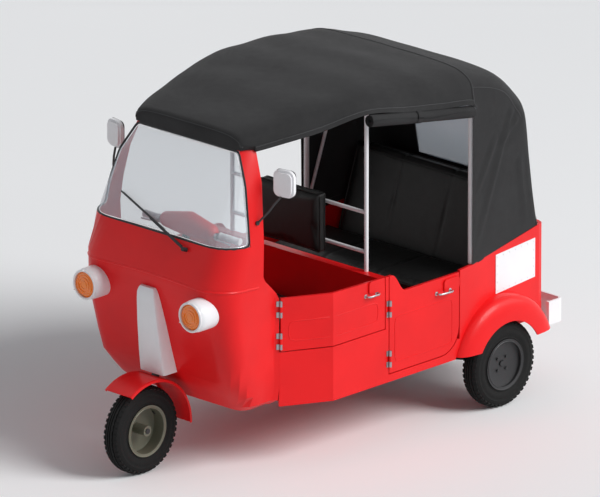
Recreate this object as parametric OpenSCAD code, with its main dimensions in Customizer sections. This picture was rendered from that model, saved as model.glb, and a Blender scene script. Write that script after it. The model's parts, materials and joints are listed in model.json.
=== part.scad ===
// Three-wheeled motor rickshaw with half-doors and a soft hood over the passenger bench.
// Lengths run rearwards from the front axle, and each piece is then moved so that the origin
// is on the ground under the middle of the vehicle. +X is the vehicle's left, -Y its front.

/* [Wheels] */
// Distance between the front and the rear axle
wheelbase = 2000; // [1960:10:2060]
// Distance between the middles of the two rear tyres
rear_track = 1160; // [1140:5:1170]
// Outer radius of every tyre
tyre_r = 228; // [218:1:232]
// Width of a tyre
tyre_w = 100; // [80:1:104]
// Radius of the rim where the tyre sits
rim_r = 128; // [118:1:136]
// Radius of the stub axles
axle_r = 14; // [11:0.5:16]
// Radius of the black hub in the front wheel
hub_r = 27; // [22:1:32]
// Circle of the wheel bolts, as a radius
bolt_circle = 44; // [38:1:50]

/* [Body] */
// Height of the bottom edge of the body panels
sill_z = 335; // [325:1:345]
// Height of the top of the floor
floor_z = 371; // [362:1:376]
// Thickness of the side panels, doors and quarters
wall = 16; // [10:0.5:20]
// Half width of the body along its straight side
side_x = 610; // [604:1:616]
// Distance of the bulkhead's rear face from the front axle
bulkhead_y = 1150; // [1130:5:1165]
// Height of the bulkhead and the door post
bulkhead_z = 896; // [880:1:910]
// Thickness of the front shell
shell_t = 14; // [10:0.5:16]
// Distance from the rear axle back to the rear wall's outer face
rear_overhang = 410; // [400:5:440]
// Height of the tub's top edge at the rear posts
tub_z = 806; // [796:1:816]
// Rise of the tub's top edge from the rear posts to the rear wall
tub_rise = 62; // [40:1:70]

/* [Doors] */
// Height of the lower edge of the driver's doors
front_door_z = 626; // [600:1:640]
// Height of the upper edge of the driver's doors
front_door_top = 905; // [890:1:915]
// Height of the upper edge of the passenger doors
rear_door_top = 795; // [785:1:800]
// Distance from the passenger door's rear edge to the rear axle
rear_door_back = 324; // [320:1:340]
// Radius of the passenger door's lower rear corner
door_corner = 130; // [90:5:150]
// Gap round each door
door_gap = 6; // [5:0.5:8]
// Radius of a hinge knuckle
knuckle_r = 7.5; // [6.5:0.5:8]
// Radius of a hinge pin
pin_r = 3.5; // [3:0.1:4]

/* [Hood] */
// Thickness of the hood's cloth
cloth_t = 5; // [4:0.5:6]
// Radius of a rolled side curtain
roll_r = 35; // [28:1:38]
// Radius of the hood bows
bow_r = 9; // [7:0.5:10]
// Radius of the rear posts
post_r = 14; // [11:0.5:15]
// Distance of the rear posts from the front axle
post_y = 1796; // [1790:1:1800]
// Height of the rear window's lower edge
rear_window_z = 1060; // [1040:5:1100]
// Height of the rear window
rear_window_h = 380; // [300:5:400]
// Half width of the rear window
rear_window_x = 330; // [280:5:335]

/* [Steering] */
// Rake of the steering axis from upright, in degrees
rake = 18; // [16:0.5:19]
// Height of the handlebar
bar_z = 1215; // [1200:1:1220]
// Distance of the handlebar from the front axle
bar_y = 345; // [335:1:360]
// Half width of the handlebar over its grips
bar_half = 332; // [310:1:335]
// Radius of the steering column
column_r = 20; // [17:0.5:22]
// Room between the front tyre and the outside of its mudguard
guard_gap = 50; // [42:1:52]
// Half width of the front mudguard
guard_half = 94; // [80:1:96]
// Distance of the fork's leg from the middle of the wheel
fork_x = 70; // [68:1:74]
// Radius of the fork's crown arm and leg
arm_r = 12; // [9:0.5:12.5]

/* [Lamps and trim] */
// Radius of a lamp's lens
lens_r = 68; // [60:1:70]
// Radius of a lamp's pod
pod_r = 83; // [78:1:88]
// Distance of a lamp from the middle
lamp_x = 371; // [355:1:380]
// Height of the lamps
lamp_z = 909; // [895:1:920]
// Width of a mirror's head
mirror_w = 120; // [90:5:130]
// Height of a mirror's head
mirror_h = 140; // [120:5:150]
// Height of the rear bumper's blade
bumper_h = 125; // [100:5:140]
// Gap from the rear wall to the bumper's outer face
bumper_reach = 140; // [120:5:160]

/* [Seats] */
// Height of the driver's seat
driver_seat_z = 680; // [660:5:700]
// Height of the passenger seat
passenger_seat_z = 740; // [720:5:760]
// Thickness of the driver's cushion
driver_cushion_t = 100; // [80:5:110]
// Half width of the driver's cushion
driver_seat_x = 230; // [200:5:250]

/* [Clearances] */
// Gap between pieces that seat on each other
fit = 0.4; // [0.2:0.05:0.5]
// Radial running clearance of a pin, an axle or the column
run = 0.1; // [0.05:0.05:0.2]

/* [Hidden] */
$fn = 48;

rear_y = wheelbase;
tail_y = rear_y + rear_overhang;
mid_y = (tail_y + bumper_reach - tyre_r) / 2;
axle_z = tyre_r;
guard_r = tyre_r + guard_gap;
rear_x = rear_track / 2;
outline_pale = "whitesmoke";
paint = "firebrick";
steel = "dimgray";

// Plain sums

function lerp(a, b, t) = a + (b - a) * t;
function unit(v) = v / norm(v);
function last(list) = list[len(list) - 1];
function flip_x(p) = [-p[0], each [for (i = [1:len(p) - 1]) p[i]]];
function reversed(list) = [for (i = [len(list) - 1:-1:0]) list[i]];
// Points of an arc round a centre
function arc(centre, r, from, to, steps = 6) =
    [for (i = [0:steps]) let (a = lerp(from, to, i / steps)) centre + r * [cos(a), sin(a)]];
// The point at a distance along a path
function along(path, d, i = 0) =
    i >= len(path) - 1 ? last(path)
    : let (l = norm(path[i + 1] - path[i]))
        d <= l ? lerp(path[i], path[i + 1], d / l) : along(path, d - l, i + 1);
function path_length(path, i = 0) =
    i >= len(path) - 1 ? 0 : norm(path[i + 1] - path[i]) + path_length(path, i + 1);
// A grid of points moved by t along its own normals
function moved_grid(g, t) = let (r = len(g) - 1, c = len(g[0]) - 1)
    [for (i = [0:r]) [for (j = [0:c])
        g[i][j] + t * unit(cross(g[min(i + 1, r)][j] - g[max(i - 1, 0)][j],
                                 g[i][min(j + 1, c)] - g[i][max(j - 1, 0)]))]];
// The row of a table at a value of its first column
function row_at(table, v, i = 0) =
    i >= len(table) - 2 || v <= table[i + 1][0]
        ? lerp(table[i], table[i + 1], (v - table[i][0]) / (table[i + 1][0] - table[i][0]))
        : row_at(table, v, i + 1);

// Shapes used by several pieces

module placed() translate([0, -mid_y, 0]) children();

module both_sides() {
    children();
    mirror([1, 0, 0]) children();
}

// A straight round bar from p to q
module bar(p, q, r) {
    d = q - p;
    translate(p)
        rotate([0, acos(d[2] / norm(d)), atan2(d[1], d[0])])
            cylinder(h = norm(d), r = r);
}

// A straight square bar from p to q
module square_bar(p, q, w) {
    d = q - p;
    translate(p)
        rotate([0, acos(d[2] / norm(d)), atan2(d[1], d[0])])
            translate([-w / 2, -w / 2, 0]) cube([w, w, norm(d)]);
}

// A solid of revolution from points (radius, distance along the axis)
module turned(points) rotate_extrude() polygon(points);

// The same with its axis along X or along Y
module turned_x(points) rotate([0, 90, 0]) turned(points);
module turned_y(points) rotate([-90, 0, 0]) turned(points);

// A round bar swept along points, its ring set by a vector that the path never follows
module swept(path, r, across = [0, 0, 1], sides = 12) {
    n = len(path);
    rings = [for (i = [0:n - 1])
        let (t = unit(path[min(i + 1, n - 1)] - path[max(i - 1, 0)]),
             u = unit(cross(t, across)), v = cross(t, u))
        [for (k = [0:sides - 1]) path[i] + r * (u * cos(360 * k / sides) + v * sin(360 * k / sides))]];
    walls = [for (i = [0:n - 2], k = [0:sides - 1]) let (m = (k + 1) % sides)
        each [[i * sides + k, (i + 1) * sides + m, i * sides + m],
              [i * sides + k, (i + 1) * sides + k, (i + 1) * sides + m]]];
    ends = [[for (k = [0:sides - 1]) k], reversed([for (k = [0:sides - 1]) (n - 1) * sides + k])];
    polyhedron([for (ring = rings) each ring], concat(walls, ends), convexity = 8);
}

// A closed sheet between two grids of points, with a window of cells [i0, i1, j0, j1] left out
module sheet(outer, inner, window = [0, 0, 0, 0]) {
    r = len(outer);
    c = len(outer[0]);
    s = r * c;
    points = concat([for (row = outer) each row], [for (row = inner) each row]);
    holed = window[1] > window[0];
    cells = [for (i = [0:r - 2], j = [0:c - 2])
        if (!holed || i < window[0] || i >= window[1] || j < window[2] || j >= window[3]) [i, j]];
    faces_out = [for (q = cells) let (a = q[0] * c + q[1])
        each [[a, a + c, a + c + 1], [a, a + c + 1, a + 1]]];
    faces_in = [for (q = cells) let (a = s + q[0] * c + q[1])
        each [[a, a + c + 1, a + c], [a, a + 1, a + c + 1]]];
    rim = concat([for (j = [0:c - 1]) j], [for (i = [1:r - 1]) i * c + c - 1],
        [for (j = [c - 2:-1:0]) (r - 1) * c + j], [for (i = [r - 2:-1:1]) i * c]);
    hole = !holed ? [] : concat(
        [for (i = [window[0]:window[1]]) i * c + window[2]],
        [for (j = [window[2] + 1:window[3]]) window[1] * c + j],
        [for (i = [window[1] - 1:-1:window[0]]) i * c + window[3]],
        [for (j = [window[3] - 1:-1:window[2] + 1]) window[0] * c + j]);
    polyhedron(points, concat(faces_out, faces_in, band(rim, s), band(hole, s)), convexity = 10);
}

// The faces that join a loop of outer points to the inner ones
function band(loop, s) = [for (k = [0:len(loop) - 1])
    let (a = loop[k], b = loop[(k + 1) % len(loop)])
    each [[a, b, b + s], [a, b + s, a + s]]];

// A profile drawn from the side, with lengths and heights, made solid from one width to another
module side_slice(points, from = 0, to = 720)
    translate([from, 0, 0]) rotate([90, 0, 90]) linear_extrude(to - from) polygon(points);

// A rectangle with round corners about the origin
function round_rect(w, h, r, steps = 5) = [for (k = [0:3])
    each arc([(k == 0 || k == 3 ? 1 : -1) * (w / 2 - r), (k < 2 ? 1 : -1) * (h / 2 - r)],
             r, 90 * k, 90 * k + 90, steps)];

// Front shell

// Height, centre line, half width, corner radius, crease (x, y), rear edge (x, y)
shell_rows = [
    [sill_z, 315, 405, 60, 400, 488, 412, 502],
    [370, 290, 455, 68, 452, 468, 472, 504],
    [430, 240, 475, 78, 464, 479, 478, 506],
    [510, 176, 485, 84, 464, 479, 478, 506],
    [620, 147, 492, 85, 464, 479, 478, 506],
    [780, 110, 505, 95, 477, 440, 478, 506],
    [front_door_top, 79, 508, 118, 490, 400, 478, 506],
    [940, 70, 507, 125, 494, 388, 480, 484],
    [985, 61, 506, 135, 499, 373, 489, 436],
    [1032, 54, 505, 145, 503, 360, 504, 380],
    [1060, 50, 504, 150, 504, 356, 505, 366],
    [1240, 122, 510, 150, 510, 354, 511, 364],
    [1380, 192, 494, 128, 494, 364, 495, 373],
    [1540, 272, 466, 96, 466, 386, 466, 395],
    [1690, 347, 405, 60, 405, 408, 404, 417],
    [1738, 368, 392, 56, 392, 425, 391, 433]];
base_row = 11;
top_row = 14;
pillar_w = 84;
half_fractions = [0, 0.06, 0.12, 0.19, 0.26, 0.33, 0.4, 0.47, 0.56, 0.7, 0.85, 1];

// The half section of a row from its crease to the centre line
function half_section(row) = concat(
    [[row[4], row[5]]],
    arc([row[2] - row[3], row[1] + row[3]], row[3], 0, -90),
    [[0, row[1]]]);
// A row's points from the centre line to a distance short of the crease
function half_points(row, short) = let (path = half_section(row), l = path_length(path))
    [for (f = reversed(half_fractions)) let (p = along(path, lerp(short, l, f))) [p[0], p[1], row[0]]];
function whole_row(half) = concat([for (i = [len(half) - 1:-1:1]) flip_x(half[i])], half);
// Beside the door the last strip lies in the flared side's plane, for the hinges
flange_w = 22;
function flange(row) = row[0] > 400 && row[0] <= front_door_top
    ? [row[6], row[7]] - flange_w * [sin(flare_angle), cos(flare_angle)]
    : ([row[4], row[5]] + [row[6], row[7]]) / 2;
function shell_grid() = [for (row = shell_rows) whole_row(concat(half_points(row, pillar_w),
    [[row[4], row[5], row[0]], concat(flange(row), row[0]), [row[6], row[7], row[0]]]))];
shell_columns = 2 * (len(half_fractions) + 3) - 1;

module front_shell() color(paint) placed() difference() {
    grid = shell_grid();
    sheet(grid, moved_grid(grid, shell_t),
        window = [base_row, top_row, 3, shell_columns - 4]);
    both_sides()
        translate([lamp_x, -100, lamp_z]) rotate([-90, 0, 0]) cylinder(h = 300, r = pod_r + fit);
    steer_frame() translate([0, 0, -700]) cylinder(h = 360, r = head_r + 6);
}

glass_t = 5;
glass_in = 3;
glass_gap = 2.4;
// The rows and points of a grid between two ends, its outer edge drawn in by d
function drawn_in(list, d) = let (n = len(list) - 1)
    [for (i = [0:n]) i == 0 ? list[0] + d * unit(list[1] - list[0])
        : i == n ? list[n] + d * unit(list[n - 1] - list[n]) : list[i]];
function transposed(g) = [for (j = [0:len(g[0]) - 1]) [for (row = g) row[j]]];
function pane(t) = let (g = moved_grid(shell_grid(), t),
        rows = [for (i = [base_row:top_row]) drawn_in([for (j = [3:shell_columns - 4]) g[i][j]], glass_gap)],
        columns = [for (column = transposed(rows)) drawn_in(column, glass_gap)])
    transposed(columns);
module windscreen() color("lightsteelblue", 0.4) placed()
    sheet(pane(glass_in), pane(glass_in + glass_t));

// White cover over the steering head: height, front, half width, rear edge
nose_rows = [
    [507, 80, 86, 177],
    [620, 64, 82, 147],
    [780, 45, 74, 110],
    [900, 34, 66, 80],
    [935, 33, 63, 71],
    [955, 38, 58, 66],
    [968, 42, 50, 64.5]];
nose_t = 4;
function nose_row(r, t) = [
    [-r[2] + t, r[3] - 0.6, r[0]],
    [-r[2] + t, r[1] + 16, r[0]],
    [-r[2] + 5 + t, r[1] + 5 + t, r[0]],
    [-r[2] + 16 + t, r[1] + t, r[0]],
    [r[2] - 16 - t, r[1] + t, r[0]],
    [r[2] - 5 - t, r[1] + 5 + t, r[0]],
    [r[2] - t, r[1] + 16, r[0]],
    [r[2] - t, r[3] - 0.6, r[0]]];
module nose_cover() color(outline_pale) placed() union() {
    sheet([for (r = nose_rows) nose_row(r, 0)], [for (r = nose_rows) nose_row(r, nose_t)]);
    translate([0, 0, last(nose_rows)[0] - 3])
        linear_extrude(3.5)
            polygon([for (p = nose_row(last(nose_rows), 1)) [p[0], p[1]]]);
}

// Lower body

// Half outline of the body in plan, from the front corner to the middle of the rear wall
body_outline = [
    [464, 479],
    [side_x, 760],
    [side_x, rear_y - 310],
    [side_x - 14, rear_y - 200],
    [514, tail_y - 40],
    [503, tail_y - 11],
    [474, tail_y]];
flare_angle = atan2(side_x - 464, 760 - 479);
seam = 30.5;

module body_plan() polygon(concat(body_outline, reversed([for (p = body_outline) flip_x(p)])));
module wall_plan() difference() {
    body_plan();
    offset(delta = -wall) body_plan();
    square([2 * side_x - 300, 1200], center = true);
}
module inside_plan(from, to) intersection() {
    offset(delta = -wall - fit) body_plan();
    translate([-side_x, from]) square([2 * side_x, to - from]);
}
// The flared panel's own frame: X outwards, Y along the panel from the crease
module flare_frame() translate([464, 479, 0]) rotate([0, 0, -flare_angle]) children();

function tub_top(y) = tub_z + (y - post_y) * tub_rise / (tail_y - post_y);

lower_top = front_door_z - door_gap;
post_front = bulkhead_y - 10;
front_door_end = post_front - door_gap;
rear_door_start = bulkhead_y + 18;
post_back = rear_door_start - door_gap;
rear_door_end = rear_y - rear_door_back;
rear_door_z = floor_z + 9;
side_split = rear_door_end - door_corner - 16;
housing_gap = 134;
housing_r = tyre_r + housing_gap;

function ease(t) = (1 + cos(180 * t)) / 2;
rear_door_profile = concat(
    [[rear_door_start, rear_door_z]],
    arc([rear_door_end - door_corner, rear_door_z + door_corner], door_corner, -90, 0),
    [[rear_door_end, rear_door_top]],
    [for (i = [6:-1:0]) [lerp(rear_door_start + 18, rear_door_start + 116, i / 6),
                         lerp(rear_door_top, bulkhead_z, ease(i / 6))]],
    [[rear_door_start, bulkhead_z]]);
front_door_profile = [[490, front_door_z], [front_door_end, front_door_z],
    [front_door_end, front_door_top - 9], [780, front_door_top], [490, front_door_top]];

fixed_profile = [[479, sill_z], [tail_y + 10, sill_z], [tail_y + 10, tub_top(tail_y + 10)],
    [post_y, tub_z], [rear_door_end + door_gap, tub_z - 2], [rear_door_end + door_gap, bulkhead_z],
    [post_front, bulkhead_z], [post_front, lower_top], [479, lower_top]];

module fixed_side() difference() {
    intersection() {
        linear_extrude(1000) wall_plan();
        side_slice(fixed_profile);
    }
    rotate([90, 0, 90]) linear_extrude(720) {
        offset(delta = door_gap) polygon(rear_door_profile);
        translate([rear_door_start - door_gap, rear_door_z + 60])
            square([rear_door_end - rear_door_start + 2 * door_gap, 600]);
    }
    translate([0, rear_y, axle_z]) rotate([0, 90, 0]) cylinder(h = 720, r = housing_r + fit);
}

module side_panels() color(paint) placed() both_sides() difference() {
    intersection() {
        fixed_side();
        translate([0, 400, 300]) cube([720, side_split - 400, 700]);
    }
    flare_frame() translate([-90, -90, 300]) cube([200, 90 + seam + fit, 700]);
}

module quarter_panels() color(paint) placed() both_sides() intersection() {
    fixed_side();
    translate([300, side_split, 300]) cube([420, tail_y - side_split - wall - fit, 700]);
}

module quarter_plates() color(outline_pale) placed() both_sides() {
    a = body_outline[3];
    b = body_outline[4];
    start = 190;
    translate([a[0], a[1], 0]) rotate([0, 0, atan2(a[0] - b[0], b[1] - a[1])])
        translate([fit, start, axle_z + housing_r + 5]) cube([3, 346, 208]);
}

floor_t = 12;
module floor_pan() color(paint) placed() difference() {
    translate([0, 0, floor_z - floor_t]) linear_extrude(floor_t) union() {
        inside_plan(514, rear_y - 400);
        translate([-400, 345]) square([800, 171]);
    }
    for (strut = [low_strut, high_strut], x = [-1, 1])
        translate([x * (strut[0] - 6), rail_start - 8, floor_z])
            cube([strut[2] + 26, strut[2] + 50, 3 * floor_t], center = true);
}

// Bulkhead behind the driver, a folded box section with a ledge on top
bulkhead_t = 50;
module bulkhead() color(paint) placed() difference() {
    intersection() {
        translate([-side_x, bulkhead_y - bulkhead_t, floor_z])
            cube([2 * side_x, bulkhead_t, bulkhead_z - floor_z]);
        linear_extrude(1000) inside_plan(600, bulkhead_y + 100);
    }
    for (x = [-1, 1])
        translate([x * 290, bulkhead_y, 640])
            rotate([90, 0, 0]) linear_extrude(12, center = true) polygon(round_rect(480, 380, 40));
}

// Rear wheel housings: each a ring with a flared lip, closed towards the engine bay
housing_x = 462;
housing_profile = [[20, housing_x], [housing_r, housing_x], [housing_r, 612], [housing_r - 11, 632],
    [housing_r - 36, 648], [housing_r - 72, 657], [housing_r - 118, 662], [housing_r - 126, 662],
    [housing_r - 126, 654], [housing_r - 119, 653], [housing_r - 74, 648],
    [housing_r - 42, 640], [housing_r - 21, 626], [housing_r - 10, 608], [housing_r - 10, housing_x + 10],
    [20, housing_x + 10]];
module wheel_housings() color(paint) placed() both_sides() intersection() {
    translate([0, rear_y, axle_z]) turned_x(housing_profile);
    translate([0, rear_y - 500, sill_z + 10]) cube([800, 1000, 500]);
}

// Rear wall and engine lid
lid_w = 640;
lid_low = 425;
lid_high = 720;
module rear_wall() color(paint) placed() difference() {
    intersection() {
        linear_extrude(1000) intersection() {
            body_plan();
            translate([-side_x, tail_y - wall]) square([2 * side_x, wall + 1]);
        }
        side_slice([[tail_y - 30, sill_z], [tail_y + 10, sill_z], [tail_y + 10, tub_top(tail_y + 10)],
            [tail_y - 30, tub_top(tail_y - 30)]], -side_x, side_x);
    }
    translate([-lid_w / 2 - door_gap, tail_y - 60, lid_low - door_gap])
        cube([lid_w + 2 * door_gap, 100, lid_high - lid_low + 2 * door_gap]);
}

lid_rise = (lid_high - lid_low) / 2;
module engine_lid() color(paint) placed() {
    difference() {
        translate([-lid_w / 2, tail_y - wall, lid_low]) cube([lid_w, wall, lid_high - lid_low]);
        for (i = [0:5])
            translate([-200, tail_y - 30, lid_low + 50 + 34 * i]) cube([400, 40, 12]);
    }
    lid_hinges() hinge_moving();
}
module lid_hinges() for (x = [-1, 1])
    translate([x * (lid_w / 2 - 90), tail_y, lid_high + door_gap / 2])
        rotate([-90, 0, 0]) rotate([0, -90, 0]) children();

// Seat platform over the engine: a front wall, a board and its turned-down edge
platform_z = 630;
seat_front = rear_y - 500;
module seat_platform() color(paint) placed() difference() {
    union() {
        translate([0, 0, platform_z - 18]) linear_extrude(18) inside_plan(seat_front, tail_y - wall - fit);
        translate([0, 0, floor_z]) linear_extrude(platform_z - floor_z - 9)
            inside_plan(seat_front, seat_front + 14);
    }
    both_sides() translate([housing_x - fit, rear_y, axle_z]) rotate([0, 90, 0])
        cylinder(h = side_x, r = housing_r + fit);
}

// Hinges, in a frame with X outwards, Y along the door and Z up the pin
hinge_out = knuckle_r + 1.5;
leaf_t = 3;
leaf_w = 26;
knuckle_h = 28;
module hinge_fixed(leaf = leaf_w) {
    translate([hinge_out, 0, -1.5 * knuckle_h - 2]) cylinder(h = 3 * knuckle_h + 4, r = pin_r);
    for (z = [-1, 1])
        translate([0, 0, z * (knuckle_h + 0.8)]) {
            translate([hinge_out, 0, -knuckle_h / 2]) cylinder(h = knuckle_h, r = knuckle_r);
            translate([fit, -leaf, -knuckle_h / 2]) cube([leaf_t, leaf, knuckle_h]);
        }
}
module hinge_moving(leaf = leaf_w) difference() {
    union() {
        translate([hinge_out, 0, -knuckle_h / 2]) cylinder(h = knuckle_h, r = knuckle_r);
        translate([-1, 0, -knuckle_h / 2]) cube([leaf_t + 1, leaf, knuckle_h]);
    }
    translate([hinge_out, 0, -knuckle_h]) cylinder(h = 2 * knuckle_h, r = pin_r + run);
    translate([-2, -2, -knuckle_h]) cube([2.2, 2 + door_gap / 2, 2 * knuckle_h]);
}
front_hinge_s = seam + 4 + door_gap / 2;
module front_hinges() for (z = [front_door_z + 55, front_door_top - 55])
    flare_frame() translate([0, front_hinge_s, z]) children();
module rear_hinges() for (z = [rear_door_z + 80, rear_door_top - 70])
    translate([side_x, rear_door_start - door_gap / 2, z]) children();

module door_hinges() color(steel) placed() {
    both_sides() {
        front_hinges() hinge_fixed(leaf = 22);
        rear_hinges() hinge_fixed(leaf = 20);
    }
    lid_hinges() hinge_fixed();
}

// Doors
latch_t = 9;
module latch(y, z, w, h) translate([side_x - 1, y, z]) {
    rotate([90, 0, 90]) linear_extrude(latch_t + 1) polygon(round_rect(w, h, 16));
}
module driver_door() {
    difference() {
        intersection() {
            linear_extrude(1000) wall_plan();
            side_slice(front_door_profile);
        }
        flare_frame() translate([-90, -90, 300])
            cube([200, 90 + front_hinge_s + door_gap / 2, 700]);
    }
    front_hinges() hinge_moving();
    latch(front_door_end - 66, bulkhead_z - 26, 110, 64);
}
module passenger_door() {
    intersection() {
        linear_extrude(1000) wall_plan();
        side_slice(rear_door_profile);
    }
    rear_hinges() hinge_moving();
    latch(rear_door_end - 60, rear_door_top - 46, 110, 64);
}

// Rear bumper with its brackets
bumper_t = 12;
module bumper_plan() polygon([[-520, tail_y + 30], [-520, tail_y + bumper_reach - 30],
    [-511, tail_y + bumper_reach - 9], [-490, tail_y + bumper_reach],
    [490, tail_y + bumper_reach], [511, tail_y + bumper_reach - 9],
    [520, tail_y + bumper_reach - 30], [520, tail_y + 30]]);
bumper_z = 306;
module rear_bumper() color(outline_pale) placed() {
    translate([0, 0, bumper_z]) linear_extrude(bumper_h) difference() {
        bumper_plan();
        offset(delta = -bumper_t) bumper_plan();
        translate([-500, tail_y - 10]) square([1000, 60]);
    }
    for (x = [-1, 1])
        translate([x * rail_x - rail_w / 2, rail_end + fit, rail_z + 4])
            cube([rail_w, tail_y + bumper_reach - bumper_t / 2 - rail_end - fit, sill_z - rail_z - 8]);
}

// Chassis
rail_x = 252;
rail_w = 40;
rail_h = 56;
rail_z = floor_z - floor_t - rail_h;
rail_start = 470;
rail_end = tail_y - wall - 14;
head_r = column_r + 6;
cross_y = [rail_start, bulkhead_y - 60, rear_y - 400, rail_end - 40];
// Struts from the front cross member up to the head tube
low_strut = [60, 17, 24];
high_strut = [200, 16, 22];
function strut_foot(strut) = [strut[0], rail_start + 20, rail_z + 28];
module head_strut(strut, h)
    square_bar(strut_foot(strut), head_point(h) + [strut[1], 0, 0], strut[2]);
module head_struts() both_sides() {
    head_strut(low_strut, head_low + 60);
    head_strut(high_strut, head_high - 60);
}
tow_y = tail_y + 8;
tow_r = 11;
tow_z = rail_z - tow_r - 4;
module tow_plate() translate([-6, 0, 0]) rotate([90, 0, 90]) linear_extrude(12)
    polygon(concat([[rail_end - 38, rail_z + 34], [rail_end - 38, tow_z - 20]],
        arc([tow_y, tow_z], 24, -90, 70)));
module chassis_frame() color(steel) placed() difference() {
    union() {
        for (x = [-1, 1])
            translate([x * rail_x - rail_w / 2, rail_start, rail_z])
                cube([rail_w, rail_end - rail_start, rail_h]);
        for (y = cross_y)
            translate([-rail_x, y, rail_z]) cube([2 * rail_x, 40, rail_h - 8]);
        translate([-460, rear_y - 400, rail_z + 6]) cube([920, 40, rail_h - 20]);
        tow_plate();
        steer_frame() translate([0, 0, head_low]) cylinder(h = head_high - head_low, r = head_r);
        head_struts();
    }
    steer_frame() translate([0, 0, head_low - 5])
        cylinder(h = head_high - head_low + 10, r = column_r + run);
    translate([-20, tow_y, tow_z]) rotate([0, 90, 0]) cylinder(h = 40, r = tow_r);
}

// Steering, in a frame on the steering axis with its origin at the handlebar
module steer_frame() translate([0, bar_y, bar_z]) rotate([-rake, 0, 0]) children();
function head_point(h) = [0, bar_y + h * sin(rake), bar_z + h * cos(rake)];
head_low = -650;
head_high = -240;

// The crown arm crosses midway between the tyre and the mudguard, on the steering axis
guard_skin = 6;
crown_r = (tyre_r + guard_r - guard_skin) / 2;
axle_to_bar = [bar_y, bar_z - axle_z];
axis_way = [sin(rake), cos(rake)];
crown_h = sqrt(pow(axle_to_bar * axis_way, 2) - axle_to_bar * axle_to_bar + pow(crown_r, 2))
    - axle_to_bar * axis_way;
crown = head_point(crown_h) - [fork_x, 0, 0];

// One leg on the right of the wheel, hung from an arm under the mudguard
boss_r = 22;
boss_w = 26;
module steering_fork() color(steel) placed() {
    steer_frame()
        translate([0, 0, crown_h]) cylinder(h = -crown_h - tube_r - fit, r = column_r);
    translate(crown) {
        rotate([0, 90, 0]) cylinder(h = fork_x + column_r / 2, r = arm_r);
        sphere(r = arm_r + 1.5);
    }
    bar(crown, [-fork_x, 0, axle_z], arm_r);
    translate([-fork_x - boss_w / 2, 0, axle_z]) rotate([0, 90, 0]) cylinder(h = boss_w, r = boss_r);
    translate([-fork_x, 0, axle_z]) rotate([0, 90, 0]) cylinder(h = fork_x + tyre_w / 2 + 4, r = axle_r);
}

guard_t = 4;
guard_lip = 16;
module front_mudguard() color(paint) placed() difference() {
    translate([0, 0, axle_z]) rotate([0, 90, 0])
        rotate_extrude(start = 88, angle = 127)
            polygon([[guard_r - guard_lip, -guard_half], [guard_r - 4, -guard_half],
                [guard_r, -guard_half + 6], [guard_r, guard_half - 6], [guard_r - 4, guard_half],
                [guard_r - guard_lip, guard_half], [guard_r - guard_lip, guard_half - guard_t],
                [guard_r - guard_skin, guard_half - guard_t - 2],
                [guard_r - guard_skin, -guard_half + guard_t + 2],
                [guard_r - guard_lip, -guard_half + guard_t]]);
    steer_frame() translate([0, 0, crown_h]) cylinder(h = 100, r = column_r + fit);
}

tube_r = 11;
sweep_y = 26;
function bar_path(side) = [for (p = [[0, 0, 0], [120, 0, 0], [160, 2, 0], [190, 8, 0], [bar_half, sweep_y + 8, -4]])
    [side * p[0], p[1], p[2]]];
module bent_bar(r) swept(concat(reversed([for (i = [1:4]) bar_path(-1)[i]]), bar_path(1)), r);
module handlebar() color("silver") placed() steer_frame() {
    bent_bar(tube_r);
    for (s = [-1, 1]) {
        swept([[s * 200, -6, -10], [s * 208, -22, -16], [s * 228, -30, -20],
            [s * (bar_half - 20), -8, -26]], 5);
        translate([s * 203, 2, -6]) rotate([0, 90, 0]) cylinder(h = 14, r = 17, center = true);
    }
}

module handlebar_grips() color("gray") placed() steer_frame() for (s = [-1, 1]) {
    from = bar_path(s)[3];
    to = last(bar_path(s));
    way = unit(to - from);
    difference() {
        bar(from + 22 * way, to + 3 * way, 17);
        bar(from - 10 * way, to + fit * way, tube_r + fit);
    }
}

module steering_cowl() color(paint) placed() difference() {
    steer_frame() translate([0, 4, 14]) hull() {
        for (s = [-1, 1]) translate([s * 152, 2, -8]) sphere(r = 40, $fn = 32);
        translate([0, 0, 16]) sphere(r = 48, $fn = 32);
        translate([0, 0, -26]) sphere(r = 38, $fn = 32);
    }
    steer_frame() bent_bar(tube_r + 2 * fit);
    steer_frame() translate([0, 0, -120]) cylinder(h = 120, r = column_r + fit);
}

// Wheels, turned about X with the tyre's middle at the origin
module tyre() color("black") {
    h = tyre_w / 2;
    turned_x(concat(
        [[rim_r + 0.3, -h + 14], [rim_r + 14, -h + 3]],
        arc([tyre_r - 34, -h + 16], 16, 270, 290, 1),
        [[tyre_r - 12, -h + 10], [tyre_r - 4, -h + 22], [tyre_r, -h + 40], [tyre_r, h - 40],
         [tyre_r - 4, h - 22], [tyre_r - 12, h - 10]],
        arc([tyre_r - 34, h - 16], 16, 70, 90, 1),
        [[rim_r + 14, h - 3], [rim_r + 0.3, h - 14]]));
}
// The rim's disc sits at x = disc and its hub reaches from there to x = reach
module rim(disc, reach, hub) difference() {
    h = tyre_w / 2;
    union() {
        turned_x([[rim_r - 8, -h + 8], [rim_r - 4, -h + 2], [rim_r + 6, -h - 1], [rim_r + 6, -h + 2],
            [rim_r, -h + 8], [rim_r, h - 8], [rim_r + 6, h - 2], [rim_r + 6, h + 1], [rim_r - 4, h - 2],
            [rim_r - 8, h - 8]]);
        turned_x([[axle_r + 4, disc - 4], [hub + 20, disc - 4], [rim_r - 30, disc + 2],
            [rim_r - 6, disc + 10], [rim_r - 6, disc + 14], [rim_r - 30, disc + 7], [hub + 20, disc + 4],
            [axle_r + 4, disc + 4]]);
        translate([min(disc, reach), 0, 0]) rotate([0, 90, 0])
            cylinder(h = abs(reach - disc), r = hub);
        children();
    }
    translate([-200, 0, 0]) rotate([0, 90, 0]) cylinder(h = 400, r = axle_r + run);
}
module rear_wheel_place() translate([rear_x, rear_y, axle_z]) children();
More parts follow.
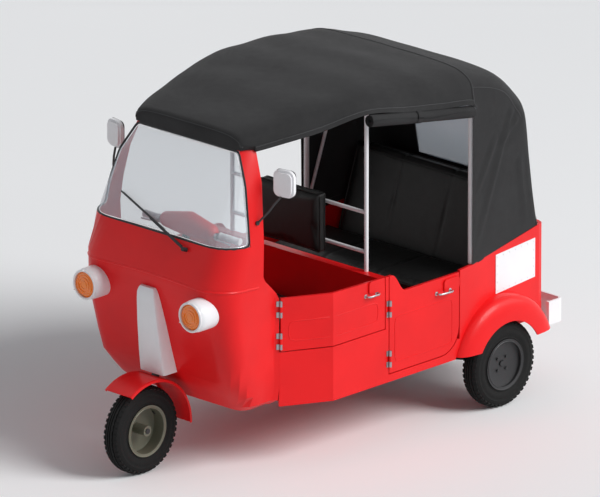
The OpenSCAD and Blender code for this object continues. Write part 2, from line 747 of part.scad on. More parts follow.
module rear_rim() color("black") rear_wheel_place() rim(18, -40, hub_r + 8)
    for (a = [45:90:315])
        rotate([a, 0, 0]) translate([20, bolt_circle, 0]) rotate([0, 90, 0]) cylinder(h = 10, r = 8, $fn = 6);

// Swing arms with hub carriers, stub axles and half shafts
carrier_x = rear_x - 92;
pivot_r = 19;
pivot_y = rear_y - 360 + pivot_r + fit;
module swing_arms() color(steel) placed() both_sides() {
    translate([carrier_x - 26, rear_y, axle_z]) rotate([0, 90, 0]) cylinder(h = 44, r = 40);
    translate([carrier_x, rear_y, axle_z]) rotate([0, 90, 0])
        cylinder(h = rear_x - carrier_x + 28, r = axle_r);
    bar([engine_x + fit, rear_y, axle_z + 24], [carrier_x, rear_y, axle_z], 13);
    bar([430, pivot_y, rail_z + 14], [carrier_x - 8, rear_y, axle_z], 17);
    bar([300, pivot_y, rail_z + 14], [carrier_x - 12, rear_y - 20, axle_z], 15);
    translate([286, pivot_y, rail_z + 14]) rotate([0, 90, 0]) cylinder(h = 160, r = pivot_r);
    translate([spring_x, spring_y, 250]) cylinder(h = spring_seat - 250, r = 36);
}
spring_x = 400;
spring_y = rear_y - 120;
spring_seat = 284;
spring_top = platform_z - 18;
coil_count = 8;
coil_pitch = (spring_top - spring_seat - 26) / coil_count;
module rear_springs() color(steel) placed() both_sides() translate([spring_x, spring_y, 0]) {
    coils = [for (i = [0:coil_count - 1]) let (z = spring_seat + 13 + coil_pitch * i)
        each [[20, z], [27, z + coil_pitch / 6], [31, z + coil_pitch * 0.39],
            [27, z + coil_pitch * 0.61], [20, z + coil_pitch * 0.78]]];
    turned(concat([[0, spring_seat + fit], [33, spring_seat + fit], [33, spring_seat + 8]], coils,
        [[33, spring_top - 12], [33, spring_top - fit], [0, spring_top - fit]]));
}

engine_x = 200;
module engine_block() color("gray") placed() {
    translate([-engine_x, rear_y - 150, 250]) cube([2 * engine_x, rail_end - 44 - rear_y + 150, 300]);
    for (y = [rear_y - 100, rear_y + 240])
        translate([-rail_x + rail_w / 2 + fit, y, rail_z + 10])
            cube([2 * (rail_x - rail_w / 2 - fit), 50, 30]);
}

module silencer() color("darkgray") placed() {
    translate([-210, tail_y - 70, 204]) rotate([0, 90, 0]) cylinder(h = 340, r = 38);
    bar([90, tail_y - 70, 204], [90, tail_y - 70, 250 - fit], 15);
    bar([-180, tail_y - 70, 190], [-180, tail_y + 40, 176], 13);
}

// Seats
module driver_seat_base() color(paint) placed()
    translate([-driver_seat_x + 14, 665, floor_z])
        cube([2 * driver_seat_x - 28, bulkhead_y - bulkhead_t - fit - 665,
            driver_seat_z - driver_cushion_t - floor_z - fit]);
module driver_cushion() color("black") placed()
    translate([-driver_seat_x, 645, driver_seat_z - driver_cushion_t])
        cube([2 * driver_seat_x, bulkhead_y - bulkhead_t - 5 - 645, driver_cushion_t]);
module driver_backrest() color("black") placed()
    side_slice([[1065, 930], [1052, 1270], [bulkhead_y - 15 - fit, 1280], [bulkhead_y - 15 - fit, 930]],
        -driver_seat_x, driver_seat_x);
bench_split = rear_y - 66;
module passenger_cushion() color("black") placed()
    translate([-560, seat_front - 4, platform_z + fit])
        cube([1120, bench_split - seat_front + 2, passenger_seat_z - platform_z - fit]);
module passenger_backrest() color("black") placed()
    side_slice([[bench_split + 1, platform_z + fit], [bench_split + 38, 750],
        [bench_split + 182, 1165], [bench_split + 250, 1150],
        [bench_split + 90, platform_z + fit]], -535, 535);

// Frame between the driver and the passengers
partition_y = bulkhead_y - 5;
partition_x = 470;
crossbar_r = 10;
module partition_frame() color(outline_pale) placed() {
    for (x = [-1, 1])
        translate([x * partition_x, partition_y, bulkhead_z])
            cylinder(h = bow_height(partition_y, partition_x) - bow_r - 4 - bulkhead_z, r = 11);
    for (z = [996, 1205])
        translate([-partition_x, partition_y, z]) rotate([0, 90, 0])
            cylinder(h = 2 * partition_x, r = crossbar_r);
}

// Hood

// Across the hood, from the centre line to the shoulder: share of the width, share of the fall
shoulder = [[0, 0], [0.32, 0], [0.62, 0.04], [0.8, 0.16], [0.92, 0.42], [0.98, 0.72], [1, 1]];
roll_gap = 3;
function roll_top(y) = 1746 - 0.1662 * (y - 1030) + roll_r + roll_gap;
hem_y = post_y - 8;
// Centre line (y, z), shoulder (x, y, z), hem (x, y, z)
hood_rows = [
    [341, 1694, 366, 347, 1694, 398, 398, 1697],
    [341, 1768, 366, 347, 1716, 406, 400, 1700],
    [362, 1785, 380, 370, 1730, 418, 412, 1701],
    [520, 1815, 430, 520, 1762, 452, 524, 1712],
    [760, 1850, 490, 760, 1790, 515, 760, 1738],
    [1030, 1876, 548, 1030, 1822, 585, 1030, roll_top(1030)],
    [1300, 1882, 578, 1300, 1805, 605, 1300, roll_top(1300)],
    [1560, 1868, 588, 1560, 1778, 606, 1560, roll_top(1560)],
    [hem_y, 1838, 592, hem_y, 1746, 607, hem_y, roll_top(hem_y)],
    [hem_y + 165, 1795, 588, hem_y + 155, 1705, 606, hem_y + 2, 1560],
    [rear_y + 70, 1750, 582, rear_y + 40, 1655, 605, hem_y + 2, 1440],
    [rear_y + 190, 1652, 573, rear_y + 125, 1560, 604, hem_y + 2, 1310],
    [tail_y - 130, 1540, 561, rear_y + 195, 1460, 602, hem_y + 2, 1180],
    [tail_y - 80, 1280, 546, rear_y + 245, 1230, 601, hem_y + 2, 1050],
    [tail_y - 38, 1060, 530, rear_y + 292, 1035, 600, hem_y + 2, 925],
    [tail_y - 2, tub_top(tail_y) + fit, 512, tail_y - 62, tub_top(tail_y - 62) + fit,
        599, hem_y + 2, tub_top(hem_y + 2) + fit]];

function hood_half(r) = concat(
    [for (q = shoulder) [r[2] * q[0], lerp(r[0], r[3], q[1]), lerp(r[1], r[4], q[1])]],
    [for (t = [1, 2, 3]) lerp([r[2], r[3], r[4]], [r[5], r[6], r[7]], t / 3)]);
function hood_grid() = [for (r = hood_rows) whole_row(hood_half(r))];

module hood() color("black") placed() difference() {
    grid = hood_grid();
    sheet(grid, moved_grid(grid, cloth_t));
    translate([-rear_window_x, tail_y - 200, rear_window_z])
        cube([2 * rear_window_x, 300, rear_window_h]);
}

window_low = hood_rows[13];
window_high = hood_rows[12];
window_lean = atan2(window_low[0] - window_high[0], window_high[1] - window_low[1]);
module rear_window() color("lightsteelblue", 0.5) placed()
    translate([0, window_low[0], window_low[1]]) rotate([window_lean, 0, 0])
        translate([-rear_window_x + fit, -cloth_t / 2 - 1.5, (rear_window_z - window_low[1]) / cos(window_lean) + 1.4])
            cube([2 * (rear_window_x - fit), 3, rear_window_h / cos(window_lean) - 2.8]);

module side_curtains() color("black") placed() both_sides() {
    from = [600, 1030, 1746];
    to = [600, post_y - post_r - 3, 1746 - 0.1662 * (post_y - post_r - 3 - 1030)];
    d = to - from;
    translate(from) rotate([atan2(d[2], d[1]) - 90, 0, 0])
        turned([[0, 0], [roll_r - 12, 0], [roll_r - 4, 4], [roll_r, 12], [roll_r, norm(d) - 12],
            [roll_r - 4, norm(d) - 4], [roll_r - 12, norm(d)], [0, norm(d)]]);
}

bow_gap = cloth_t + bow_r + 2;
// The row of the hood at a distance from the front axle, between its upright rows
upright_rows = [for (i = [2:8]) hood_rows[i]];
function bow_half(y) = let (r = row_at(upright_rows, y))
    [for (q = shoulder) [r[2] * q[0] * (1 - 26 / r[2]), y, lerp(r[1], r[4], q[1]) - bow_gap]];
function bow_height(y, x, i = 0) = let (h = bow_half(y))
    x <= h[i + 1][0] ? lerp(h[i][2], h[i + 1][2], (x - h[i][0]) / (h[i + 1][0] - h[i][0]))
    : bow_height(y, x, i + 1);
bow_places = [760, partition_y, 1460, post_y - 40];
module hood_bows() color(steel) placed() {
    for (y = bow_places)
        swept(whole_row(bow_half(y)), bow_r, across = [0, 1, 0], sides = 10);
    both_sides()
        swept([for (y = [440, 520, 760, 1030, 1300, 1560, post_y - 20]) last(bow_half(y))], bow_r, sides = 10);
}

rear_post_x = 576;
post_foot = tub_top(post_y + post_r) + fit;
post_top = last(bow_half(post_y - 20))[2] - bow_r - 6;
module rear_posts() color(outline_pale) placed() both_sides() {
    translate([rear_post_x, post_y, post_foot]) cylinder(h = post_top - post_foot, r = post_r);
    bar([rear_post_x - 6, post_y + 4, tub_z + 60], [550, rear_y + 40, 1585], bow_r);
}

// Lamps, mirrors and the wiper
lamp_y = -13;
module at_lamps() both_sides() translate([lamp_x, lamp_y, lamp_z]) children();
module lamp_pods() color(outline_pale) placed() at_lamps()
    turned_y([[0, 22], [lens_r + fit, 22], [lens_r + fit, 0], [pod_r - 8, 0], [pod_r - 3, 8],
        [pod_r, 24], [pod_r, 138], [pod_r - 20, 152], [0, 152]]);
module lamp_lenses() color("darkorange") placed() at_lamps()
    turned_y([[0, 22 - fit], [lens_r, 22 - fit], [lens_r, 3], [lens_r - 8, -5], [lens_r - 26, -11], [0, -15]]);
module tail_lamps() color("red") placed() both_sides()
    translate([420, tail_y + fit, 660])
        turned_y([[0, 0], [44, 0], [44, 14], [38, 22], [24, 27], [0, 29]]);

mirror_at = [593, 420, 1555];
module mirror_heads() color(outline_pale) placed() both_sides()
    translate(mirror_at) rotate([0, 0, 12]) rotate([-90, 0, 0]) {
        linear_extrude(20) polygon(round_rect(mirror_w, mirror_h, 34));
        translate([0, 0, -10]) linear_extrude(11) polygon(round_rect(mirror_w - 22, mirror_h - 22, 26));
    }
stalk_z = 1350;
// A point on the pillar between its crease (f = 0) and the windscreen (f = 1)
function pillar_point(z, f) = let (row = row_at(shell_rows, z), q = along(half_section(row), pillar_w))
    lerp([row[4], row[5], z], [q[0], q[1], z], f);
stalk_foot = pillar_point(stalk_z, 0.4);
stalk_out = unit(cross(pillar_point(stalk_z + 20, 0.4) - pillar_point(stalk_z - 20, 0.4),
    pillar_point(stalk_z, 1) - pillar_point(stalk_z, 0)));
module mirror_stalks() color("black") placed() both_sides() {
    bar(stalk_foot + 1.8 * fit * stalk_out, stalk_foot + 10 * stalk_out, 11);
    swept([stalk_foot + 7 * stalk_out, [520, 345, 1378], [546, 366, 1415], [562, 386, 1450],
        mirror_at + [-14, -6, -mirror_h / 2 - fit]], 6, across = [0, 1, 0], sides = 8);
}

// The wiper lies along the glass, whose slope is that of its middle rows
blade_low = [200, 98, 1216];
blade_high = [-307, 180, 1372];
wiper_foot = [222, row_at(shell_rows, 1200)[1], 1200];
wiper_out = unit([0, shell_rows[base_row - 1][0] - shell_rows[base_row][0],
    shell_rows[base_row][1] - shell_rows[base_row - 1][1]]);
module wiper() color("black") placed() {
    mid = lerp(blade_low, blade_high, 0.5);
    bar(blade_low, blade_high, 4);
    bar(wiper_foot + 24 * wiper_out, mid + [0, -9, 4], 5);
    bar(mid + [0, -11, 4], mid, 3);
    bar(wiper_foot + 2 * fit * wiper_out, wiper_foot + 30 * wiper_out, 11);
}

// All pieces

chassis_frame();
floor_pan();
front_shell();
windscreen();
nose_cover();
side_panels();
door_hinges();
bulkhead();
quarter_panels();
wheel_housings();
rear_wall();
seat_platform();
engine_block();
silencer();
rear_bumper();
partition_frame();
rear_posts();
hood_bows();
hood();
side_curtains();
rear_window();
driver_seat_base();
driver_cushion();
driver_backrest();
passenger_cushion();
passenger_backrest();
lamp_pods();
lamp_lenses();
mirror_heads();
mirror_stalks();
wiper();
quarter_plates();
tail_lamps();
swing_arms();
rear_springs();
steering_fork();
front_mudguard();
handlebar();
handlebar_grips();
steering_cowl();
placed() translate([0, 0, axle_z]) tyre();  // front_tyre
color("darkolivegreen") placed() translate([0, 0, axle_z]) rim(-34, tyre_w / 2, hub_r);  // front_rim
placed() rear_wheel_place() tyre();  // rear_tyre_left
placed() rear_rim();  // rear_rim_left
placed() mirror([1, 0, 0]) rear_wheel_place() tyre();  // rear_tyre_right
placed() mirror([1, 0, 0]) rear_rim();  // rear_rim_right
color(paint) placed() driver_door();  // driver_door_left
color(paint) placed() mirror([1, 0, 0]) driver_door();  // driver_door_right
color(paint) placed() passenger_door();  // passenger_door_left
color(paint) placed() mirror([1, 0, 0]) passenger_door();  // passenger_door_right
engine_lid();
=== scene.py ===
"""Dresses the packed motor rickshaw: paint, hood, curtains, seats, tyres, trim and the stage.

Everything is in metres in the frame of the packed model: +X is the vehicle's left, -Y its front.
"""

import json
import math

import bmesh
import bpy
import numpy as np
from bpy.props import FloatProperty, FloatVectorProperty, IntProperty, PointerProperty
from mathutils import Matrix, Vector
from mathutils.bvhtree import BVHTree


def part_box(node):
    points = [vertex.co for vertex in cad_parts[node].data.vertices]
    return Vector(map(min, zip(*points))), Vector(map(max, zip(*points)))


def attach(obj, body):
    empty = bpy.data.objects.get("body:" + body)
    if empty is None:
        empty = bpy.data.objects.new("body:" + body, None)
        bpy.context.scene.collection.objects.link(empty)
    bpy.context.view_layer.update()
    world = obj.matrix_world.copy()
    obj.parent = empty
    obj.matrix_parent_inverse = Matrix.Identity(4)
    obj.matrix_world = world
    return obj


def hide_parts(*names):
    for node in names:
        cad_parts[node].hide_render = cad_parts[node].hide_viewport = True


bl_info = {
    "name": "Motor rickshaw dressing",
    "version": (1, 0, 0),
    "blender": (4, 5, 0),
    "location": "3D View > Sidebar > Rickshaw",
    "description": "Builds the finishes, soft goods and trim of a three-wheeled motor rickshaw",
    "category": "Add Mesh",
}

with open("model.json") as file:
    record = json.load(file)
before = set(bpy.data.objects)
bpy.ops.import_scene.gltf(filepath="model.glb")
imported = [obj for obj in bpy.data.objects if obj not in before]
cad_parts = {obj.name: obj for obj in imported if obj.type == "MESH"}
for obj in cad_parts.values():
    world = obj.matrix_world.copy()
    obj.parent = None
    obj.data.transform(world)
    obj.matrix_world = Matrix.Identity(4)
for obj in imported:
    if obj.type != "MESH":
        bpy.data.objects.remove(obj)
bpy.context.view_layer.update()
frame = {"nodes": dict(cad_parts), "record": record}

MM = 0.001
FRONT_AXLE_Y = sum(p.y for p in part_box("front_tyre")) / 2
REAR_AXLE_Y = sum(p.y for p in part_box("rear_tyre_left")) / 2
WHEEL_Z = sum(p.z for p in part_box("front_tyre")) / 2


# ---- settings that a user would change ----


def colour(name, description, value):
    return FloatVectorProperty(
        name=name, description=description, subtype="COLOR", size=4, min=0, max=1, default=value
    )


def length(name, description, value, low=0.0, high=10.0):
    return FloatProperty(
        name=name, description=description, default=value, min=low, max=high, unit="LENGTH"
    )


class FinishSettings(bpy.types.PropertyGroup):
    """Colours of the paint, cloth and plastic"""

    body_red: colour("Body paint", "Colour of the painted body", (0.80, 0.010, 0.012, 1))
    trim_white: colour("White paint", "Colour of the posts, lamps and bumper", (0.86, 0.86, 0.88, 1))
    hood_black: colour("Hood cloth", "Colour of the coated hood cloth", (0.0165, 0.0165, 0.0172, 1))
    seat_black: colour("Seat cover", "Colour of the seat covers", (0.0055, 0.0055, 0.0055, 1))
    lens_orange: colour("Lamp lens", "Colour of the front lamps' lenses", (0.80, 0.19, 0.003, 1))
    glass_tint: colour("Windscreen tint", "Tint of the windscreen", (0.80, 0.88, 0.96, 1))
    rim_olive: colour("Front rim", "Colour of the front rim", (0.145, 0.145, 0.105, 1))


class HoodSettings(bpy.types.PropertyGroup):
    """Sizes of the hood and its rolled curtains"""

    cloth: length("Cloth thickness", "Thickness of the hood's cloth with its lining", 0.003)
    sag: length("Sag", "Depth of the cloth between two bows", 0.007)
    fold: length("Fold height", "Height of the pulled folds at the rear corners", 0.006)
    hem: length("Hem", "Height of the doubled hem", 0.030)
    roll_turns: IntProperty(
        name="Curtain turns", description="Turns in a rolled side curtain", default=5, min=2, max=8
    )
    strap: length("Strap width", "Width of the strap round a rolled curtain", 0.040)
    stitch: length("Stitch spacing", "Distance between two stitches", 0.009)


class SeatSettings(bpy.types.PropertyGroup):
    """Sizes of the upholstery"""

    voxel: length("Pad grain", "Size of the mesh cells that are inflated", 0.009)
    swell: length("Swell", "Most that a point of a pad may move out", 0.013)
    inset: length("Inset", "How much smaller a pad starts than its space", 0.010)
    piping: length("Piping", "Radius of the piping on the seams", 0.0042)
    channel: length("Channel depth", "Depth of the sewn channels", 0.006)


class WheelSettings(bpy.types.PropertyGroup):
    """Sizes of the tyres' tread"""

    tread_blocks: IntProperty(
        name="Tread blocks", description="Blocks round each shoulder", default=46, min=20, max=90
    )
    groove: length("Groove depth", "Depth of the tread's grooves", 0.006)


class TrimSettings(bpy.types.PropertyGroup):
    """Sizes of seals, rivets and ribs"""

    seal: length("Seal radius", "Radius of the rubber seal round the windscreen", 0.0065)
    rivet: length("Rivet radius", "Radius of a rivet's head", 0.004)
    belt: length("Belt bead", "Radius of the bead under the windscreen", 0.009)
    belt_low: length("Belt height", "Height of the bead at the sides", 1.0)
    belt_rise: length("Belt rise", "How much higher the bead is in front", 0.045)
    mat_pitch: length("Mat pitch", "Distance between the floor mat's ribs", 0.022)
    fin_count: IntProperty(
        name="Engine fins", description="Cooling fins on the cylinder", default=9, min=4, max=14
    )


class StageSettings(bpy.types.PropertyGroup):
    """Camera and light"""

    azimuth: FloatProperty(name="Azimuth", description="Camera's turn from the front", default=44.0)
    elevation: FloatProperty(name="Elevation", description="Camera's angle above level", default=18.37)
    view_width: length("View width", "Width of the picture at the object", 3.0303)
    sun: FloatProperty(name="Sun", description="Strength of the main light", default=2.45)
    ambient: FloatProperty(name="Ambient", description="Strength of the light all round", default=0.30)
    sun_spread: FloatProperty(name="Sun spread", description="Main light's width in degrees", default=30.0)
    lens: FloatProperty(name="Lens", description="Focal length in millimetres", default=900.0)


# ---- shader helpers ----


def add_node(tree, kind, inputs=None, **settings):
    """A node of a shader or geometry tree, its sockets set or linked by name or index."""
    node = tree.nodes.new(kind)
    for key, value in settings.items():
        setattr(node, key, value)
    for key, value in (inputs or {}).items():
        socket = node.inputs[key]
        if isinstance(value, bpy.types.NodeSocket):
            tree.links.new(value, socket)
        else:
            socket.default_value = value
    return node


class Finish:
    """A principled material with a few procedural layers on the piece's own coordinates."""

    def __init__(self, name, base, roughness, **sockets):
        self.material = bpy.data.materials.new(name)
        self.material.use_nodes = True
        self.tree = self.material.node_tree
        self.shader = self.tree.nodes["Principled BSDF"]
        self.set("Base Color", base)
        self.set("Roughness", roughness)
        for key, value in sockets.items():
            self.set(key.replace("_", " "), value)
        self.place = add_node(self.tree, "ShaderNodeTexCoord").outputs["Object"]
        self.height = None

    def set(self, socket, value):
        self.shader.inputs[socket].default_value = value

    def noise(self, scale, detail=4.0, stretch=(1, 1, 1), roughness=0.5):
        place = self.place
        if stretch != (1, 1, 1):
            place = add_node(
                self.tree, "ShaderNodeMapping", {"Vector": place, "Scale": stretch}
            ).outputs[0]
        return add_node(
            self.tree,
            "ShaderNodeTexNoise",
            {"Vector": place, "Scale": scale, "Detail": detail, "Roughness": roughness},
        ).outputs[0]

    def cells(self, scale, feature="DISTANCE_TO_EDGE"):
        return add_node(
            self.tree,
            "ShaderNodeTexVoronoi",
            {"Vector": self.place, "Scale": scale},
            feature=feature,
        ).outputs["Distance"]

    def waves(self, scale, direction="X"):
        return add_node(
            self.tree,
            "ShaderNodeTexWave",
            {"Vector": self.place, "Scale": scale},
            wave_type="BANDS",
            bands_direction=direction,
        ).outputs["Fac"]

    def ranged(self, value, low, high, start=0.0, end=1.0):
        return add_node(
            self.tree,
            "ShaderNodeMapRange",
            {0: value, 1: start, 2: end, 3: low, 4: high},
        ).outputs[0]

    def tint(self, factor, dark, light):
        """The base colour runs from dark to light with the factor."""
        mix = add_node(self.tree, "ShaderNodeMix", data_type="RGBA")
        mix.inputs[6].default_value = dark
        mix.inputs[7].default_value = light
        self.tree.links.new(factor, mix.inputs[0])
        self.tree.links.new(mix.outputs[2], self.shader.inputs["Base Color"])

    def polish(self, factor, low, high):
        self.tree.links.new(self.ranged(factor, low, high), self.shader.inputs["Roughness"])

    def bump(self, factor, distance, strength=1.0):
        """Adds relief of this height in metres under what is there already."""
        inputs = {"Height": factor, "Distance": distance, "Strength": strength}
        if self.height:
            inputs["Normal"] = self.height
        self.height = add_node(self.tree, "ShaderNodeBump", inputs).outputs[0]
        self.tree.links.new(self.height, self.shader.inputs["Normal"])


def scaled(rgba, k):
    return tuple(min(1.0, c * k) for c in rgba[:3]) + (1.0,)


def paint(name, rgba, roughness=0.34, coat=0.08):
    """Gloss paint: faint orange peel, a little shade and polish variation."""
    f = Finish(name, rgba, roughness, Coat_Weight=coat, Coat_Roughness=0.10)
    f.set("Specular IOR Level", 0.20)
    cloud = f.noise(3.2, 3)
    f.tint(f.ranged(cloud, 0, 1, 0.35, 0.65), scaled(rgba, 0.93), scaled(rgba, 1.03))
    f.polish(f.noise(14, 5), roughness - 0.06, roughness + 0.10)
    f.bump(f.noise(420, 2), 0.00006)
    return f.material


def satin_metal(name, rgba, roughness, metallic, grain=(1, 1, 1)):
    """Painted or bare metal with brushed grain and dulled patches."""
    f = Finish(name, rgba, roughness, Metallic=metallic)
    f.tint(f.noise(9, 5), scaled(rgba, 0.85), scaled(rgba, 1.12))
    f.polish(f.noise(24, 6, grain), roughness - 0.08, roughness + 0.12)
    f.bump(f.noise(260, 3, grain), 0.00012)
    return f.material


def cast_alloy(name, rgba):
    f = Finish(name, rgba, 0.5, Metallic=0.85)
    f.tint(f.noise(18, 5), scaled(rgba, 0.75), scaled(rgba, 1.15))
    f.bump(f.noise(320, 4), 0.0004)
    f.polish(f.noise(40, 4), 0.4, 0.65)
    return f.material


def woven_cloth(name, rgba):
    """Coated canvas: two crossed sets of threads under a dull coating, with faded areas."""
    f = Finish(name, rgba, 0.74, Sheen_Weight=0.03, Sheen_Roughness=0.5)
    f.set("Specular IOR Level", 0.25)
    f.set("Sheen Tint", (0.8, 0.8, 0.85, 1))
    f.tint(f.ranged(f.noise(5, 6), 0, 1, 0.3, 0.7), scaled(rgba, 0.86), scaled(rgba, 1.22))
    f.polish(f.noise(30, 5), 0.66, 0.84)
    f.bump(f.waves(190, "X"), 0.00035, 0.6)
    f.bump(f.waves(190, "Y"), 0.00035, 0.6)
    f.bump(f.waves(190, "Z"), 0.00035, 0.6)
    f.bump(f.noise(16, 4), 0.0016, 0.5)
    return f.material


def grained_vinyl(name, rgba):
    """Embossed seat vinyl: fine cells with soft creases."""
    f = Finish(name, rgba, 0.46)
    f.set("Specular IOR Level", 0.30)
    f.tint(f.noise(7, 5), scaled(rgba, 0.8), scaled(rgba, 1.6))
    f.polish(f.noise(30, 5), 0.40, 0.58)
    f.bump(f.cells(430), 0.0005, 0.8)
    f.bump(f.noise(26, 5), 0.0012, 0.5)
    return f.material


def moulded_rubber(name, rgba, roughness=0.72, relief=0.0003):
    f = Finish(name, rgba, roughness)
    f.set("Specular IOR Level", 0.22)
    f.tint(f.noise(22, 6), scaled(rgba, 0.8), scaled(rgba, 1.45))
    f.polish(f.noise(60, 4), roughness - 0.1, roughness + 0.08)
    f.bump(f.noise(520, 3), relief)
    return f.material


def tinted_glass(name, rgba, alpha, roughness=0.02):
    """Clear glazing: a see-through tint with a gloss surface and faint ripple."""
    f = Finish(name, rgba, roughness, Alpha=alpha, IOR=1.45, Coat_Weight=0.3)
    f.polish(f.noise(6, 3), roughness, roughness + 0.05)
    f.bump(f.noise(7, 2), 0.0004, 0.3)
    return f.material


def lamp_lens(name, rgba, glow):
    """Ribbed lamp plastic with moulded prisms."""
    f = Finish(name, rgba, 0.16, Coat_Weight=0.6, Coat_Roughness=0.05)
    f.set("Emission Color", rgba)
    f.set("Emission Strength", glow)
    f.tint(f.noise(30, 2), scaled(rgba, 0.9), scaled(rgba, 1.08))
    f.bump(f.waves(42, "X"), 0.0012, 0.5)
    f.bump(f.waves(42, "Z"), 0.0012, 0.35)
    return f.material


MATERIALS = {}


def make_materials(look):
    """Every finish, by the name of its slot in the record and a few more for trim."""
    red, white = tuple(look.body_red), tuple(look.trim_white)
    MATERIALS.update(
        red_paint=paint("red_paint", red),
        white_paint=paint("white_paint", white, 0.34, 0.3),
        black_steel=satin_metal("black_steel", (0.030, 0.030, 0.032, 1), 0.42, 0.3),
        bare_steel=satin_metal("bare_steel", (0.40, 0.40, 0.42, 1), 0.32, 0.95, (1, 1, 9)),
        engine_alloy=cast_alloy("engine_alloy", (0.42, 0.42, 0.43, 1)),
        clear_glass=tinted_glass("clear_glass", tuple(look.glass_tint), 0.28),
        clear_sheet=tinted_glass("clear_sheet", (0.74, 0.84, 0.93, 1), 0.62, 0.12),
        hood_cloth=woven_cloth("hood_cloth", tuple(look.hood_black)),
        seat_cover=grained_vinyl("seat_cover", tuple(look.seat_black)),
        orange_lens=lamp_lens("orange_lens", tuple(look.lens_orange), 0.12),
        red_lens=lamp_lens("red_lens", (0.55, 0.01, 0.012, 1), 0.05),
        black_plastic=moulded_rubber("black_plastic", (0.022, 0.022, 0.024, 1), 0.5),
        grip_rubber=moulded_rubber("grip_rubber", (0.62, 0.63, 0.64, 1), 0.62),
        tyre_rubber=moulded_rubber("tyre_rubber", (0.006, 0.006, 0.006, 1), 0.78, 0.0005),
        olive_rim=satin_metal("olive_rim", tuple(look.rim_olive), 0.42, 0.2),
        thread=moulded_rubber("thread", (0.12, 0.12, 0.125, 1), 0.7),
        mirror_glass=satin_metal("mirror_glass", (0.86, 0.88, 0.9, 1), 0.12, 1.0),
        bright_trim=satin_metal("bright_trim", (0.8, 0.8, 0.82, 1), 0.2, 1.0),
    )


def dress_nodes():
    """Each packed solid takes the finish of its slot in the record."""
    for row in frame["record"]["subparts"]:
        node = frame["nodes"][row["node"]]
        node.data.materials.clear()
        node.data.materials.append(MATERIALS[row["material_slot"]])


# ---- mesh helpers ----


def new_piece(name, points, faces, material, body, smooth=True):
    """A mesh piece in the packed model's frame that rides on a body."""
    mesh = bpy.data.meshes.new(name)
    mesh.from_pydata([tuple(p) for p in points], [], faces)
    mesh.validate()
    return finish_piece(name, mesh, material, body, smooth)


def finish_piece(name, mesh, material, body, smooth=True):
    mesh.materials.clear()
    mesh.materials.append(MATERIALS[material])
    mesh.polygons.foreach_set("use_smooth", [smooth] * len(mesh.polygons))
    obj = bpy.data.objects.new(name, mesh)
    bpy.context.scene.collection.objects.link(obj)
    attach(obj, body)
    return obj


class Mesh:
    """Points and faces gathered from several shapes of one piece."""

    def __init__(self):
        self.points, self.faces = [], []

    def add(self, points, faces):
        start = len(self.points)
        self.points += [tuple(p) for p in points]
        self.faces += [[start + i for i in f] for f in faces]

    def sweep(self, path, radius, sides=10, closed=False, flat=1.0, up=None):
        """A round or flattened bar along a path; up turns its flat side."""
        path = [Vector(p) for p in path]
        n = len(path)
        rings, frame_up = [], Vector(up) if up else Vector((0.13, 0.21, 0.97))
        for i, p in enumerate(path):
            after = path[(i + 1) % n] if closed or i < n - 1 else p
            before = path[i - 1] if closed or i > 0 else p
            way = (after - before).normalized()
            side = way.cross(frame_up)
            if side.length < 0.05:
                side = way.cross(Vector((1, 0, 0)))
            side.normalize()
            over = side.cross(way).normalized()
            if not up:
                frame_up = over
            r = radius(i / max(1, n - 1)) if callable(radius) else radius
            rings.append(
                [
                    p + side * r * math.cos(a) + over * r * flat * math.sin(a)
                    for a in (2 * math.pi * k / sides for k in range(sides))
                ]
            )
        faces = []
        for i in range(n if closed else n - 1):
            a, b = i * sides, ((i + 1) % n) * sides
            for k in range(sides):
                m = (k + 1) % sides
                faces.append([a + k, a + m, b + m, b + k])
        if not closed:
            faces.append(list(range(sides))[::-1])
            faces.append([(n - 1) * sides + k for k in range(sides)])
        self.add([p for ring in rings for p in ring], faces)

    def turned(self, profile, place, axis, sides=32):
        """A solid of revolution from (radius, distance) pairs, radius 0 at both ends."""
        turn = Vector(axis).to_track_quat("Z", "Y").to_matrix()
        points = [
            Vector(place) + turn @ Vector((r * math.cos(a), r * math.sin(a), h))
            for r, h in profile
            for a in (2 * math.pi * k / sides for k in range(sides))
        ]
        faces = [
            [i * sides + k, i * sides + (k + 1) % sides, (i + 1) * sides + (k + 1) % sides, (i + 1) * sides + k]
            for i in range(len(profile) - 1)
            for k in range(sides)
        ]
        self.add(points, faces)

    def plate(self, outline, thickness, place, right, over, bevel=0.0012):
        """A flat plate with a chamfered face: outline pairs along right and over."""
        right, over = Vector(right).normalized(), Vector(over).normalized()
        out = right.cross(over)
        n = len(outline)
        middle = Vector((sum(p[0] for p in outline) / n, sum(p[1] for p in outline) / n))
        levels = []
        for inset, height in ((0, 0), (0, thickness - bevel), (bevel, thickness)):
            for u, v in outline:
                away = Vector((u, v)) - middle
                k = 1 - inset / max(away.length, 1e-6)
                q = middle + away * k
                levels.append(Vector(place) + right * q.x + over * q.y + out * height)
        faces = [
            [a + k, a + (k + 1) % n, a + n + (k + 1) % n, a + n + k]
            for a in (0, n)
            for k in range(n)
        ]
        faces += [list(range(n))[::-1], [2 * n + k for k in range(n)]]
        self.add(levels, faces)

    def piece(self, name, material, body, smooth=True, slot=None):
        obj = new_piece(name, self.points, self.faces, material, body, smooth)
        tidy_normals(obj.data)
        if smooth:
            sharpen(obj.data)
        return obj


def tidy_normals(mesh):
    bm = bmesh.new()
    bm.from_mesh(mesh)
    bmesh.ops.remove_doubles(bm, verts=bm.verts, dist=1e-6)
    bmesh.ops.recalc_face_normals(bm, faces=bm.faces)
    bm.to_mesh(mesh)
    bm.free()


def sharpen(mesh, degrees=35):
    """Marks edges sharper than the angle, so that smooth shading stops there."""
    bm = bmesh.new()
    bm.from_mesh(mesh)
    limit = math.radians(degrees)
    for e in bm.edges:
        e.smooth = len(e.link_faces) != 2 or e.calc_face_angle(0) < limit
    bm.to_mesh(mesh)
    bm.free()


